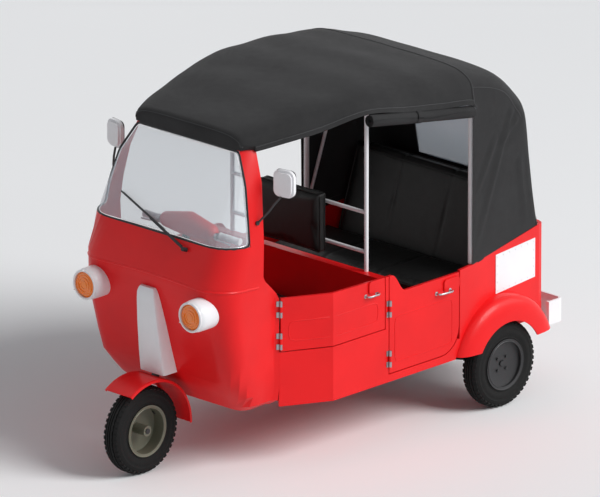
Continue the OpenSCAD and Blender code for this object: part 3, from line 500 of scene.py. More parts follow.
def rounded_box(w, h, r, steps=5):
    """Outline pairs of a rectangle with round corners about its middle."""
    pairs = []
    for k, (sx, sy) in enumerate(((1, 1), (-1, 1), (-1, -1), (1, -1))):
        for i in range(steps + 1):
            a = math.radians(90 * (k + i / steps))
            pairs.append((sx * (w / 2 - r) + r * math.cos(a), sy * (h / 2 - r) + r * math.sin(a)))
    return pairs


def merged(node):
    """A copy of a packed solid's mesh with its loose triangles joined."""
    bm = bmesh.new()
    bm.from_mesh(frame["nodes"][node].data)
    bmesh.ops.remove_doubles(bm, verts=bm.verts, dist=1e-5)
    return bm


# ---- geometry node trees ----


class Grower:
    """A geometry tree that puts a shape on every point of a guide mesh."""

    def __init__(self, name, inputs):
        self.group = bpy.data.node_groups.new(name, "GeometryNodeTree")
        face = self.group.interface
        self.keys = {}
        face.new_socket("Guide", in_out="INPUT", socket_type="NodeSocketGeometry")
        for label, kind, value in inputs:
            socket = face.new_socket(label, in_out="INPUT", socket_type=kind)
            socket.default_value = value
            self.keys[label] = socket.identifier
        stuff = face.new_socket("Material", in_out="INPUT", socket_type="NodeSocketMaterial")
        self.keys["Material"] = stuff.identifier
        face.new_socket("Shape", in_out="OUTPUT", socket_type="NodeSocketGeometry")
        self.given = add_node(self.group, "NodeGroupInput").outputs

    def node(self, kind, inputs=None, **settings):
        return add_node(self.group, kind, inputs, **settings)

    def vector(self, attribute):
        return self.node(
            "GeometryNodeInputNamedAttribute", {"Name": attribute}, data_type="FLOAT_VECTOR"
        ).outputs[0]

    def close(self, instances):
        real = self.node("GeometryNodeRealizeInstances", {0: instances}).outputs[0]
        done = self.node("GeometryNodeSetMaterial", {0: real, "Material": self.given["Material"]})
        self.node("NodeGroupOutput", {0: done.outputs[0]})
        return self

    def grow(self, name, guide, values, material, body, smooth=True):
        """Runs the tree on a guide mesh and keeps the result as a plain piece."""
        holder = bpy.data.objects.new(name + "_guide", guide)
        bpy.context.scene.collection.objects.link(holder)
        modifier = holder.modifiers.new("grow", "NODES")
        modifier.node_group = self.group
        for label, value in {**values, "Material": MATERIALS[material]}.items():
            modifier[self.keys[label]] = value
        graph = bpy.context.evaluated_depsgraph_get()
        mesh = bpy.data.meshes.new_from_object(holder.evaluated_get(graph))
        bpy.data.objects.remove(holder)
        mesh.name = name
        return finish_piece(name, mesh, material, body, smooth)


def guide_mesh(places, ways, ups=None):
    """Points that carry the direction in which a shape stands, and the one it runs along."""
    mesh = bpy.data.meshes.new("guide")
    mesh.from_pydata([tuple(p) for p in places], [], [])
    for label, rows in (("way", ways), ("along", ups or [(1, 0, 0)] * len(places))):
        layer = mesh.attributes.new(label, "FLOAT_VECTOR", "POINT")
        layer.data.foreach_set("vector", [c for v in rows for c in Vector(v)])
    return mesh


def stand(grower):
    """A rotation with local Z on 'way' and local X on 'along'."""
    first = grower.node(
        "FunctionNodeAlignRotationToVector", {"Vector": grower.vector("way")}, axis="Z"
    )
    return grower.node(
        "FunctionNodeAlignRotationToVector",
        {"Rotation": first.outputs[0], "Vector": grower.vector("along")},
        axis="X",
        pivot_axis="Z",
    ).outputs[0]


def make_growers():
    """Trees for round heads, nuts, stitches, tread blocks and flat ribs."""
    heads = Grower(
        "round_heads",
        [("Radius", "NodeSocketFloat", 0.004), ("Height", "NodeSocketFloat", 0.003), ("Sides", "NodeSocketInt", 12)],
    )
    cap = heads.node(
        "GeometryNodeMeshCone",
        {
            "Vertices": heads.given["Sides"],
            "Radius Bottom": heads.given["Radius"],
            "Radius Top": heads.node(
                "ShaderNodeMath", {0: heads.given["Radius"], 1: 0.66}, operation="MULTIPLY"
            ).outputs[0],
            "Depth": heads.given["Height"],
        },
    ).outputs["Mesh"]
    spread = heads.node(
        "GeometryNodeInstanceOnPoints",
        {"Points": heads.given["Guide"], "Instance": cap, "Rotation": stand(heads)},
    ).outputs[0]
    heads.close(spread)

    bars = Grower(
        "long_bars",
        [("Size", "NodeSocketVector", (0.006, 0.0015, 0.001)), ("Round", "NodeSocketFloat", 0.0)],
    )
    block = bars.node("GeometryNodeMeshCube", {"Size": bars.given["Size"]}).outputs["Mesh"]
    spread = bars.node(
        "GeometryNodeInstanceOnPoints",
        {"Points": bars.given["Guide"], "Instance": block, "Rotation": stand(bars)},
    ).outputs[0]
    bars.close(spread)
    return {"heads": heads, "bars": bars}


GROWERS = {}


def heads(name, places, ways, radius, height, material, body, sides=12):
    """Rivets, screws or nuts, each raised by half its height."""
    lifted = [Vector(p) + Vector(w).normalized() * height * 0.5 for p, w in zip(places, ways)]
    return GROWERS["heads"].grow(
        name,
        guide_mesh(lifted, ways),
        {"Radius": radius, "Height": height, "Sides": sides},
        material,
        body,
        smooth=False,
    )


def bars(name, places, ways, alongs, size, material, body):
    """Stitches, ribs or blocks of one size, each with its length on its own direction."""
    return GROWERS["bars"].grow(
        name, guide_mesh(places, ways, alongs), {"Size": size}, material, body, smooth=False
    )


def spaced(path, step, closed=False):
    """Points every step along a path, with the way there."""
    path = [Vector(p) for p in path]
    if closed:
        path.append(path[0])
    places, ways, left = [], [], step / 2
    for a, b in zip(path, path[1:]):
        span = (b - a).length
        while left <= span and span > 0:
            places.append(a.lerp(b, left / span))
            ways.append((b - a).normalized())
            left += step
        left -= span
    return places, ways


CURVED = (
    "front_shell",
    "nose_cover",
    "lamp_pods",
    "lamp_lenses",
    "mirror_heads",
    "mirror_stalks",
    "wheel_housings",
    "front_mudguard",
    "steering_cowl",
    "front_rim",
    "rear_rim_left",
    "rear_rim_right",
    "hood_bows",
    "handlebar",
    "partition_frame",
    "rear_posts",
    "silencer",
    "tail_lamps",
)


def smooth_solids(names, degrees=32):
    """Smooth copies of packed solids, with their creases kept, shown in the solids' place."""
    bodies = frame["record"]["behaviour"]["bodies"]
    slots = {row["node"]: row["material_slot"] for row in frame["record"]["subparts"]}
    for name in names:
        bm = merged(name)
        bmesh.ops.dissolve_limit(bm, angle_limit=math.radians(0.4), verts=bm.verts, edges=bm.edges)
        mesh = bpy.data.meshes.new(name + "_skin")
        bm.to_mesh(mesh)
        bm.free()
        body = next(b for b, nodes in bodies.items() if name in nodes)
        skin = finish_piece(name + "_skin", mesh, slots[name], body)
        sharpen(mesh, degrees)
        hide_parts(name)


# ---- hood ----

# Centre line (y, z), shoulder (x, y, z) and hem (x, y, z) of the hood's sections, in millimetres
# with y from the front axle
HOOD_ROWS = [
    (341, 1694, 366, 347, 1694, 398, 398, 1697),
    (341, 1768, 366, 347, 1716, 406, 400, 1700),
    (362, 1785, 380, 370, 1730, 418, 412, 1701),
    (520, 1815, 430, 520, 1762, 452, 524, 1712),
    (760, 1850, 490, 760, 1790, 515, 760, 1738),
    (1030, 1876, 548, 1030, 1822, 585, 1030, 1784),
    (1300, 1882, 578, 1300, 1805, 605, 1300, 1739.1),
    (1560, 1868, 588, 1560, 1778, 606, 1560, 1695.9),
    (1788, 1838, 592, 1788, 1746, 607, 1788, 1658),
    (1953, 1795, 588, 1943, 1705, 606, 1790, 1560),
    (2070, 1750, 582, 2040, 1655, 605, 1790, 1440),
    (2190, 1652, 573, 2125, 1560, 604, 1790, 1310),
    (2280, 1540, 561, 2195, 1460, 602, 1790, 1180),
    (2330, 1280, 546, 2245, 1230, 601, 1790, 1050),
    (2372, 1060, 530, 2292, 1035, 600, 1790, 925),
    (2408, 868.4, 512, 2348, 862, 599, 1790, 806),
]
# Share of the width and of the fall from the centre line to the shoulder
SHOULDER = [(0, 0), (0.32, 0), (0.62, 0.04), (0.8, 0.16), (0.92, 0.42), (0.98, 0.72), (1, 1)]
DROP_STEPS = 3
EDGE = len(SHOULDER) - 1 + DROP_STEPS
BOWS_MM = (420, 760, 1145, 1460, 1756, 2150)
# Folds pulled in the side cloth between the rear post and the rear corner (y, z) in millimetres
FOLDS = [
    ((1822, 894), (2037, 1410), (2095, 1544)),
    ((2037, 1410), (2134, 1490)),
    ((1830, 1200), (1960, 1420)),
    ((2250, 900), (2180, 1250)),
]
WINDOW_LOW, WINDOW_HIGH = 1.06, 1.44


def from_axle(x, y, z):
    """A point in millimetres, its length measured from the front axle, in the model's frame."""
    return Vector((x * MM, y * MM + FRONT_AXLE_Y, z * MM))


def hood_control():
    grid = []
    for cy, cz, sx, sy, sz, hx, hy, hz in HOOD_ROWS:
        half = [(sx * w, cy + (sy - cy) * f, cz + (sz - cz) * f) for w, f in SHOULDER]
        half += [
            tuple(a + (b - a) * k / DROP_STEPS for a, b in zip((sx, sy, sz), (hx, hy, hz)))
            for k in range(1, DROP_STEPS + 1)
        ]
        whole = [(-x, y, z) for x, y, z in half[:0:-1]] + half
        grid.append([list(from_axle(*p)) for p in whole])
    return np.array(grid)


def through(points, t):
    """A smooth curve through evenly numbered points (first axis), at the numbers t."""
    t = np.clip(np.asarray(t, float), 0, len(points) - 1)
    i = np.minimum(t.astype(int), len(points) - 2)
    f = (t - i).reshape((-1,) + (1,) * (points.ndim - 1))
    a, b = points[i], points[i + 1]
    before = points[np.maximum(i - 1, 0)]
    after = points[np.minimum(i + 2, len(points) - 1)]
    ma, mb = (b - before) / 2, (after - a) / 2
    reach = np.linalg.norm(b - a, axis=-1, keepdims=True)
    for m in (ma, mb):
        size = np.linalg.norm(m, axis=-1, keepdims=True)
        m *= np.minimum(1, 1.2 * reach / np.maximum(size, 1e-9))
    return (
        a * (2 * f**3 - 3 * f**2 + 1)
        + ma * (f**3 - 2 * f**2 + f)
        + b * (3 * f**2 - 2 * f**3)
        + mb * (f**3 - f**2)
    )


def distance_to(path, y, z):
    """Distance of points to a broken line, both as (y, z)."""
    best = np.full(y.shape, 1e9)
    for (ay, az), (by, bz) in zip(path, path[1:]):
        dy, dz = by - ay, bz - az
        k = np.clip(((y - ay) * dy + (z - az) * dz) / (dy * dy + dz * dz), 0, 1)
        best = np.minimum(best, np.hypot(y - ay - k * dy, z - az - k * dz))
    return best


def grid_normals(grid):
    du = np.gradient(grid, axis=0)
    dv = np.gradient(grid, axis=1)
    n = np.cross(dv, du)
    n /= np.maximum(np.linalg.norm(n, axis=2, keepdims=True), 1e-9)
    middle = grid.mean(axis=(0, 1)) - np.array([0, 0, 0.3])
    return n if np.sum(n * (grid - middle)) > 0 else -n


def hood_surface(rows, columns, size):
    """The outer face of the hood at row numbers and column numbers, with its sag and folds."""
    grid = through(hood_control(), rows)
    grid = through(grid.transpose(1, 0, 2), np.asarray(columns) + EDGE).transpose(1, 0, 2)
    normals = grid_normals(grid)
    y_mm = (grid[:, :, 1] - FRONT_AXLE_Y) / MM
    z_mm = grid[:, :, 2] / MM
    roof = np.clip(1 - np.abs(np.asarray(columns))[None, :] / 7.0, 0, 1) ** 0.6
    depth = np.zeros(y_mm.shape)
    for a, b in zip(BOWS_MM, BOWS_MM[1:]):
        inside = (y_mm > a) & (y_mm < b)
        depth -= np.where(inside, np.sin(np.pi * (y_mm - a) / (b - a)) ** 2, 0) * size.sag
    depth *= roof
    side = np.clip((np.abs(grid[:, :, 0]) - 0.50) / 0.06, 0, 1)
    for path in FOLDS:
        d = distance_to(path, y_mm, z_mm)
        ridge = np.exp(-((d / 16) ** 2)) - 0.55 * np.exp(-(((d - 34) / 20) ** 2))
        depth += ridge * side * size.fold
    x_mm = grid[:, :, 0] / MM
    ripple = np.sin(x_mm / 61 + 1.7 * np.sin(y_mm / 97)) * np.sin(y_mm / 73 + x_mm / 210)
    depth += ripple * 0.0012
    edge = np.clip((EDGE - np.abs(np.asarray(columns))[None, :]) / 0.6, 0, 1)
    return grid + normals * (depth * edge)[:, :, None], normals


def spread_numbers(control, step):
    """Numbers along the first axis, so that neighbours are about a step apart."""
    reach = np.linalg.norm(np.diff(control, axis=0), axis=-1).max(axis=-1)
    numbers = [0.0]
    for i, span in enumerate(reach):
        n = max(2, int(round(span / step)))
        numbers += [i + (k + 1) / n for k in range(n)]
    return numbers


def closed_sheet(outer, normals, thickness, hole=None):
    """Points and faces of a sheet with a wall, without the cells that are in the hole."""
    r, c = outer.shape[:2]
    inner = outer - normals * thickness
    points = np.concatenate([outer.reshape(-1, 3), inner.reshape(-1, 3)])
    cells = {(i, j) for i in range(r - 1) for j in range(c - 1)}
    if hole:
        i0, i1, j0, j1 = hole
        cells -= {(i, j) for i in range(i0, i1) for j in range(j0, j1)}
    s = r * c
    faces = []
    for i, j in cells:
        a, b, d, e = i * c + j, i * c + j + 1, (i + 1) * c + j + 1, (i + 1) * c + j
        faces.append([a, b, d, e])
        faces.append([a + s, e + s, d + s, b + s])
        for (p, q), beside in (
            ((a, b), (i - 1, j)),
            ((b, d), (i, j + 1)),
            ((d, e), (i + 1, j)),
            ((e, a), (i, j - 1)),
        ):
            if beside not in cells:
                faces.append([q, p, p + s, q + s])
    return points, faces


def row_number_at_height(control, height):
    """Row number on the rear at which the centre line has this height."""
    numbers = np.linspace(11, 15, 801)
    heights = through(control[:, EDGE], numbers)[:, 2]
    return float(numbers[np.argmin(np.abs(heights - height))])


def build_hood(size):
    control = hood_control()
    rows = spread_numbers(control, 0.020)
    t_high = row_number_at_height(control, WINDOW_HIGH)
    t_low = row_number_at_height(control, WINDOW_LOW)
    for t in (t_high, t_low):
        rows[int(np.argmin([abs(x - t) for x in rows]))] = t
    columns = [x - EDGE for x in spread_numbers(control.transpose(1, 0, 2)[:, 3:], 0.026)]
    outer, normals = hood_surface(rows, columns, size)
    i0, i1 = rows.index(t_high), rows.index(t_low)
    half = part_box("rear_window")[1].x
    j1 = int(np.argmin(np.abs(outer[(i0 + i1) // 2, :, 0] - half)))
    j0 = len(columns) - 1 - j1
    outer[i0 : i1 + 1, j1, 0], outer[i0 : i1 + 1, j0, 0] = half, -half
    points, faces = closed_sheet(outer, normals, size.cloth, (i0, i1, j0, j1))
    hood = new_piece("soft_hood", points, faces, "hood_cloth", "body")
    tidy_normals(hood.data)
    sharpen(hood.data, 60)
    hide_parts("hood")
    trims = [hood_bands(size), window_binding(size, (t_high, t_low), half), hood_stitches(size)]


def hood_line(size, rows, columns, lift=0.0):
    """Points and normals along a line on the hood's outer face."""
    places, ways = [], []
    for t, s in zip(rows, columns):
        near_t = [max(0, t - 0.05), t, min(len(HOOD_ROWS) - 1, t + 0.05)]
        near_s = [max(-EDGE, s - 0.05), s, min(EDGE, s + 0.05)]
        grid, normals = hood_surface(near_t, near_s, size)
        places.append(Vector(grid[1, 1]) + Vector(normals[1, 1]) * lift)
        ways.append(Vector(normals[1, 1]))
    return places, ways


def hood_seams():
    """Row and column numbers of the hood's seams."""
    n = 90
    run = [k / n for k in range(n + 1)]
    lines = []
    for sign in (-1, 1):
        lines.append(([1.0 + 7.0 * k for k in run], [sign * (EDGE - 0.75)] * (n + 1)))
        lines.append(([8.0 + 7.0 * k for k in run], [sign * (EDGE - 0.12)] * (n + 1)))
        lines.append(([8.0 + 7.0 * k for k in run], [sign * 6.0] * (n + 1)))
    across = [-EDGE + 2 * EDGE * k for k in run]
    lines.append(([1.0] * (n + 1), across))
    lines.append(([8.0] * (n + 1), across))
    lines.append(([14.72] * (n + 1), across))
    return lines


def ribbon(mesh, places, ways, width, thickness):
    """A flat band along places whose face looks along ways."""
    n = len(places)
    rings = []
    for i, (p, w) in enumerate(zip(places, ways)):
        way = (places[min(i + 1, n - 1)] - places[max(i - 1, 0)]).normalized()
        side = way.cross(w).normalized() * width / 2
        over = w.normalized() * thickness
        rings += [p - side, p - side * 0.9 + over, p + side * 0.9 + over, p + side]
    faces = [
        [4 * i + k, 4 * i + (k + 1) % 4, 4 * i + 4 + (k + 1) % 4, 4 * i + 4 + k]
        for i in range(n - 1)
        for k in range(4)
    ]
    mesh.add(rings, faces + [[3, 2, 1, 0], [4 * n - 4 + k for k in range(4)]])


def hood_bands(size):
    """Doubled hem along the sides and front, and welts on the seams."""
    mesh = Mesh()
    n = 100
    run = [k / n for k in range(n + 1)]
    for sign in (-1, 1):
        for rows, column, width in (
            ([0.6 + 7.4 * k for k in run], EDGE - 0.3, size.hem),
            ([8.0 + 7.0 * k for k in run], EDGE - 0.06, 0.024),
        ):
            places, ways = hood_line(size, rows, [sign * column] * (n + 1))
            ribbon(mesh, places, ways, width, 0.0022)
    across = [-EDGE + 0.3 + (2 * EDGE - 0.6) * k for k in run]
    for row, width in ((1.0, 0.014), (8.0, 0.020), (14.86, 0.034)):
        places, ways = hood_line(size, [row] * (n + 1), across)
        ribbon(mesh, places, ways, width, 0.0022)
    return mesh.piece("hood_bands", "hood_cloth", "body")


def window_binding(size, numbers, half):
    """A sewn cloth border round the rear window."""
    high, low = numbers
    control = hood_control()
    n = 24
    corners = []
    for t in np.linspace(high, low, n):
        corners.append((t, half + 0.012))
    border = [(high - 0.045, x) for x in np.linspace(-half - 0.012, half + 0.012, n)]
    border += corners
    border += [(low + 0.06, x) for x in np.linspace(half + 0.012, -half - 0.012, n)]
    border += [(t, -x) for t, x in reversed(corners)]
    places, ways = [], []
    for t, x in border:
        widths = through(control, [t])[0, :, 0]
        s = float(np.interp(x, widths, np.arange(len(widths)) - EDGE))
        p, w = hood_line(size, [t], [s])
        places += p
        ways += w
    mesh = Mesh()
    places.append(places[0])
    ways.append(ways[0])
    ribbon(mesh, places, ways, 0.034, 0.0028)
    binding = mesh.piece("window_binding", "hood_cloth", "body")
    for inset in (-0.011, 0.011):
        line = []
        for p, w, after in zip(places, ways, places[1:] + places[1:2]):
            way = (after - p).normalized() if (after - p).length > 1e-6 else Vector((1, 0, 0))
            line.append(p + way.cross(w).normalized() * inset + w * 0.0032)
        at, along = spaced(line, size.stitch)
        name = "window_stitches_outer" if inset < 0 else "window_stitches_inner"
        bars(name, at, [Vector((0, 1, 0.1))] * len(at), along, (0.006, 0.0012, 0.0008), "thread", "body")
    return binding


def hood_stitches(size):
    places, ways, alongs = [], [], []
    for rows, columns in hood_seams():
        line, normals = hood_line(size, rows, columns, 0.0026)
        at, along = spaced(line, size.stitch)
        for p, a in zip(at, along):
            k = min(range(len(line)), key=lambda i: (line[i] - p).length_squared)
            places.append(p)
            ways.append(normals[k])
            alongs.append(a)
    return bars("hood_stitches", places, ways, alongs, (0.006, 0.0013, 0.0009), "thread", "body")


# ---- rolled curtains ----


def build_curtains(size):
    radius = 0.0335
    front = from_axle(600, 1030, 1746)
    back = from_axle(600, 1779, 1621.5)
    for side, sign in (("left", 1), ("right", -1)):
        points, faces = [], []
        turns, per_turn, along = size.roll_turns, 26, 46
        n = turns * per_turn
        way = (back - front).normalized()
        across = Vector((1, 0, 0))
        over = way.cross(across).normalized()
        if over.z < 0:
            over = -over
        wall = 0.0022
        for i in range(along + 1):
            k = i / along
            centre = front.lerp(back, k)
            pinch = 1 - 0.09 * math.exp(-(((k - 0.46) / 0.035) ** 2))
            pinch *= 1 - 0.05 * (math.exp(-k / 0.02) + math.exp(-(1 - k) / 0.02))
            for j in range(n + 1):
                a = 2 * math.pi * j / per_turn + 0.25 * math.sin(9 * k)
                r = (0.010 + (radius - 0.010) * j / n) * pinch
                r *= 1 + 0.022 * math.sin(3 * a + 5 * k) * math.sin(11 * k + 1)
                for inset in (0, wall):
                    q = centre + (across * math.cos(a) + over * math.sin(a)) * (r - inset)
                    points.append((q.x * sign, q.y, q.z))
        row = 2 * (n + 1)
        for i in range(along):
            for j in range(n):
                a = i * row + 2 * j
                b = a + row
                faces.append([a, a + 2, b + 2, b])
                faces.append([a + 1, b + 1, b + 3, a + 3])
            a, b = i * row, (i + 1) * row
            faces.append([a, b, b + 1, a + 1])
            a, b = a + 2 * n, b + 2 * n
            faces.append([a, a + 1, b + 1, b])
        for i in (0, along):
            for j in range(n):
                a = i * row + 2 * j
                faces.append([a, a + 1, a + 3, a + 2] if i == 0 else [a, a + 2, a + 3, a + 1])
        roll = new_piece("rolled_curtain_" + side, points, faces, "hood_cloth", "body")
        tidy_normals(roll.data)
        sharpen(roll.data, 60)
        strap = Mesh()
        middle = front.lerp(back, 0.46)
        loop = []
        for j in range(33):
            a = 2 * math.pi * j / 32
            q = middle + (across * math.cos(a) + over * math.sin(a)) * (radius * 0.965)
            loop.append(Vector((q.x * sign, q.y, q.z)))
        centre = Vector((middle.x * sign, middle.y, middle.z))
        ribbon(strap, loop, [(p - centre).normalized() for p in loop], size.strap, 0.0022)
        belt = strap.piece("curtain_strap_" + side, "hood_cloth", "body")
        if side == "left":
            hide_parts("side_curtains")


# ---- seats ----


def padded_copy(name, node, size, channels=()):
    """A packed cushion's mesh, blown up like a foam pad in its cover."""
    bm = merged(node)
    mesh = bpy.data.meshes.new(name)
    bm.to_mesh(mesh)
    bm.free()
    low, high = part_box(node)
    middle = (low + high) / 2
    for v in mesh.vertices:
        for axis in range(3):
            half = (high[axis] - low[axis]) / 2
            v.co[axis] = middle[axis] + (v.co[axis] - middle[axis]) * (1 - size.inset / half)
    obj = bpy.data.objects.new(name, mesh)
    bpy.context.scene.collection.objects.link(obj)
    remesh = obj.modifiers.new("cells", "REMESH")
    remesh.mode = "VOXEL"
    remesh.voxel_size = size.voxel
    even = obj.modifiers.new("even", "SMOOTH")
    even.factor, even.iterations = 0.6, 6
    graph = bpy.context.evaluated_depsgraph_get()
    cells = bpy.data.meshes.new_from_object(obj.evaluated_get(graph))
    obj.modifiers.clear()
    obj.data = cells
    start = np.empty(len(cells.vertices) * 3)
    cells.vertices.foreach_get("co", start)
    cloth = obj.modifiers.new("cloth", "CLOTH")
    values = cloth.settings
    values.quality = 4
    values.mass = 0.35
    values.tension_stiffness = values.compression_stiffness = 22
    values.shear_stiffness = 8
    values.bending_stiffness = 2.0
    values.use_pressure = True
    values.uniform_pressure_force = 4.0
    values.effector_weights.gravity = 0.0
    cloth.collision_settings.use_collision = False
    cloth.point_cache.frame_start, cloth.point_cache.frame_end = 1, 20
    scene = bpy.context.scene
    for number in range(1, 21):
        scene.frame_set(number)
    graph = bpy.context.evaluated_depsgraph_get()
    blown = bpy.data.meshes.new_from_object(obj.evaluated_get(graph))
    obj.modifiers.clear()
    end = np.empty(len(blown.vertices) * 3)
    blown.vertices.foreach_get("co", end)
    moved = (end - start).reshape(-1, 3)
    reach = np.linalg.norm(moved, axis=1, keepdims=True)
    moved *= np.minimum(1, size.swell / np.maximum(reach, 1e-9))
    place = start.reshape(-1, 3) + moved
    scene.frame_set(1)
    for axis, at, low_y, high_y in channels:
        d = np.abs(place[:, axis] - at)
        dip = np.exp(-((d / 0.010) ** 2)) * size.channel
        centre = place.mean(axis=0)
        push = place - centre
        push[:, axis] = 0
        push /= np.maximum(np.linalg.norm(push, axis=1, keepdims=True), 1e-9)
        place -= push * dip[:, None]
    blown.vertices.foreach_set("co", place.ravel())
    blown.update()
    obj.data = blown
    smooth = obj.modifiers.new("fine", "SUBSURF")
    smooth.levels = smooth.render_levels = 1
    graph = bpy.context.evaluated_depsgraph_get()
    final = bpy.data.meshes.new_from_object(obj.evaluated_get(graph))
    bpy.data.objects.remove(obj)
    final.name = name
    piece = finish_piece(name, final, "seat_cover", "body")
    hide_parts(node)
    return piece


def seam_line(piece, loop, lift):
    """Points on a pad's surface nearest to a loop that is drawn near it."""
    tree = BVHTree.FromPolygons(
        [v.co for v in piece.data.vertices], [list(p.vertices) for p in piece.data.polygons]
    )
    line = []
    for p in loop:
        spot, normal, _, _ = tree.find_nearest(p)
        line.append(spot + normal * lift)
    return line


def build_seats(size):
    pads = {}
    for node in ("driver_cushion", "driver_backrest", "passenger_cushion", "passenger_backrest"):
        lo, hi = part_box(node)
        cuts = []
        if node.startswith("passenger"):
            for k in (-1, 1):
                cuts.append((0, k * (hi.x - lo.x) / 6, lo.y, hi.y))
        elif node == "driver_cushion":
            cuts = [(1, lo.y + (hi.y - lo.y) * k / 3, 0, 0) for k in (1, 2)]
        pads[node] = padded_copy(node + "_pad", node, size, cuts)
    piping = Mesh()
    for node, pad in pads.items():
        lo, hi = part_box(node)
        flat = node.endswith("cushion")
        heights = (0.20, 0.80) if flat else (0.22, 0.78)
        for share in heights:
            loop = []
            if flat:
                z = lo.z + (hi.z - lo.z) * share
                w, d = hi.x - lo.x, hi.y - lo.y
                middle = Vector(((lo.x + hi.x) / 2, (lo.y + hi.y) / 2, z))
                for u, v in rounded_box(w, d, 0.05, 6):
                    loop.append(middle + Vector((u, v, 0)))
                loop = filled(loop, 0.02)
            else:
                w = hi.x - lo.x
                h, d = hi.z - lo.z, hi.y - lo.y
                middle_z = (lo.z + hi.z) / 2
                for u, v in rounded_box(w, h, 0.05, 6):
                    y = lo.y + d * share + (v / h) * d * 0.35
                    if node == "driver_backrest":
                        y = lo.y + d * (0.30 if share < 0.5 else 0.9)
                    loop.append(Vector(((lo.x + hi.x) / 2 + u, y, middle_z + v)))
                loop = filled(loop, 0.02)
            line = seam_line(pad, loop, size.piping * 0.4)
            line = evened(line, 3)
            piping.sweep(line, size.piping, 8, closed=True)
    piping.piece("seat_piping", "seat_cover", "body")


def filled(loop, step):
    """A closed line with points no further apart than the step."""
    line = []
    for a, b in zip(loop, loop[1:] + loop[:1]):
        n = max(1, int((b - a).length / step))
        line += [a.lerp(b, k / n) for k in range(n)]
    return line


def evened(line, rounds):
    """A closed line with its small jumps averaged out and doubled points left out."""
    for _ in range(rounds):
        n = len(line)
        line = [(line[i - 1] + line[i] * 2 + line[(i + 1) % n]) / 4 for i in range(n)]
    kept = [line[0]]
    for p in line[1:]:
        if (p - kept[-1]).length > 0.004:
            kept.append(p)
    if (kept[0] - kept[-1]).length < 0.004:
        kept.pop()
    return kept


# ---- wheels ----

TYRES = (("front_tyre", "front_wheel"), ("rear_tyre_left", "rear_wheel_left"), ("rear_tyre_right", "rear_wheel_right"))


def build_tyre(node, body, size):
    """A tyre with bead, ribbed side, grooves round the crown and a hollow inside."""
    lo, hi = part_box(node)
    hub = (lo + hi) / 2
    out, half = (hi.z - lo.z) / 2, (hi.x - lo.x) / 2
    bead = 0.1283
    g = size.groove
    ring = [
        (bead, half - 0.016), (bead + 0.004, half - 0.006), (bead + 0.012, half - 0.003),
        (bead + 0.016, half - 0.0055), (bead + 0.030, half - 0.002), (bead + 0.034, half - 0.0005),
        (bead + 0.046, half), (bead + 0.050, half - 0.0015), (bead + 0.060, half - 0.002),
        (bead + 0.064, half - 0.0005), (out - 0.026, half - 0.004), (out - 0.014, half - 0.010),
        (out - 0.007, half - 0.019), (out - 0.0035, half - 0.024), (out - 0.0035 - g, half - 0.0255),
        (out - 0.0035 - g, half - 0.0295), (out - 0.001, half - 0.031), (out, 0.010),
        (out - g, 0.0085), (out - g, 0.0045), (out, 0.003),
    ]
    profile = ring + [(r, -x) for r, x in reversed(ring)]
    profile += [(bead + 0.010, -half + 0.020), (bead + 0.045, -half + 0.010), (out - 0.022, -half + 0.020)]
    profile += [(out - 0.022, half - 0.020), (bead + 0.045, half - 0.010), (bead + 0.010, half - 0.020)]
    sides = 96
    points = [
        (hub.x + x, hub.y + r * math.cos(a), hub.z + r * math.sin(a))
        for r, x in profile
        for a in (2 * math.pi * k / sides for k in range(sides))
    ]
    n = len(profile)
    faces = [
        [i * sides + k, i * sides + (k + 1) % sides, ((i + 1) % n) * sides + (k + 1) % sides, ((i + 1) % n) * sides + k]
        for i in range(n)
        for k in range(sides)
    ]
    tyre = new_piece(node + "_cover", points, faces, "tyre_rubber", body)
    tidy_normals(tyre.data)
    sharpen(tyre.data, 34)
    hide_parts(node)
    places, ways, alongs = [], [], []
    count = size.tread_blocks
    for side in (-1, 1):
        for k in range(count):
            a = 2 * math.pi * (k + (0.5 if side > 0 else 0)) / count
            radial = Vector((0, math.cos(a), math.sin(a)))
            lean = Vector((side * 0.55, 0, 0))
            places.append(hub + Vector((side * (half - 0.0135), 0, 0)) + radial * (out - 0.0115))
            ways.append((radial + lean).normalized())
            alongs.append(Vector((side, 0, 0)) - radial * 0.55)
    blocks = bars(node + "_blocks", places, ways, alongs, (0.016, out * 2 * math.pi / count * 0.56, 0.008), "tyre_rubber", body)
    places, ways, alongs = [], [], []
    for side in (-1, 1):
        for k in range(count):
            a = 2 * math.pi * (k + 0.25) / count
            radial = Vector((0, math.cos(a), math.sin(a)))
            places.append(hub + Vector((side * 0.0165, 0, 0)) + radial * (out - 0.0022))
            ways.append(radial)
            alongs.append(Vector((side, 0, 0)) + radial.cross(Vector((1, 0, 0))) * 0.5)
    bars(node + "_ribs", places, ways, alongs, (0.009, out * 2 * math.pi / count * 0.5, 0.003), "tyre_rubber", body)
    return tyre, blocks


def build_wheels(size):
    for node, body in TYRES:
        build_tyre(node, body, size)
    for node, body, side in (
        ("front_rim", "front_wheel", 1),
        ("rear_rim_left", "rear_wheel_left", 1),
        ("rear_rim_right", "rear_wheel_right", -1),
    ):
        lo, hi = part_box(node)
        hub = (lo + hi) / 2
        trim = Mesh()
        out = Vector((side, 0, 0))
        rim = 0.121
        # Rolled bead on the rim's edge and the valve
        for s in (-1, 1):
            loop = [
                hub + Vector((s * ((hi.x - lo.x) / 2 - 0.004), rim * math.cos(a), rim * math.sin(a)))
                for a in (2 * math.pi * k / 64 for k in range(64))
            ]
            trim.sweep(loop, 0.0035, 8, closed=True)
        trim.piece(node + "_bead", "olive_rim" if node == "front_rim" else "black_steel", body)
        valve = Mesh()
        a = 0.7
        foot = hub + Vector((0, 0.112 * math.cos(a), 0.112 * math.sin(a)))
        valve.sweep([foot + out * 0.002, foot + out * 0.022 - Vector((0, 0.008 * math.cos(a), 0.008 * math.sin(a)))], 0.0035, 10)
        valve.piece(node + "_valve", "black_plastic", body)


# ---- glass, lamps and mirrors ----


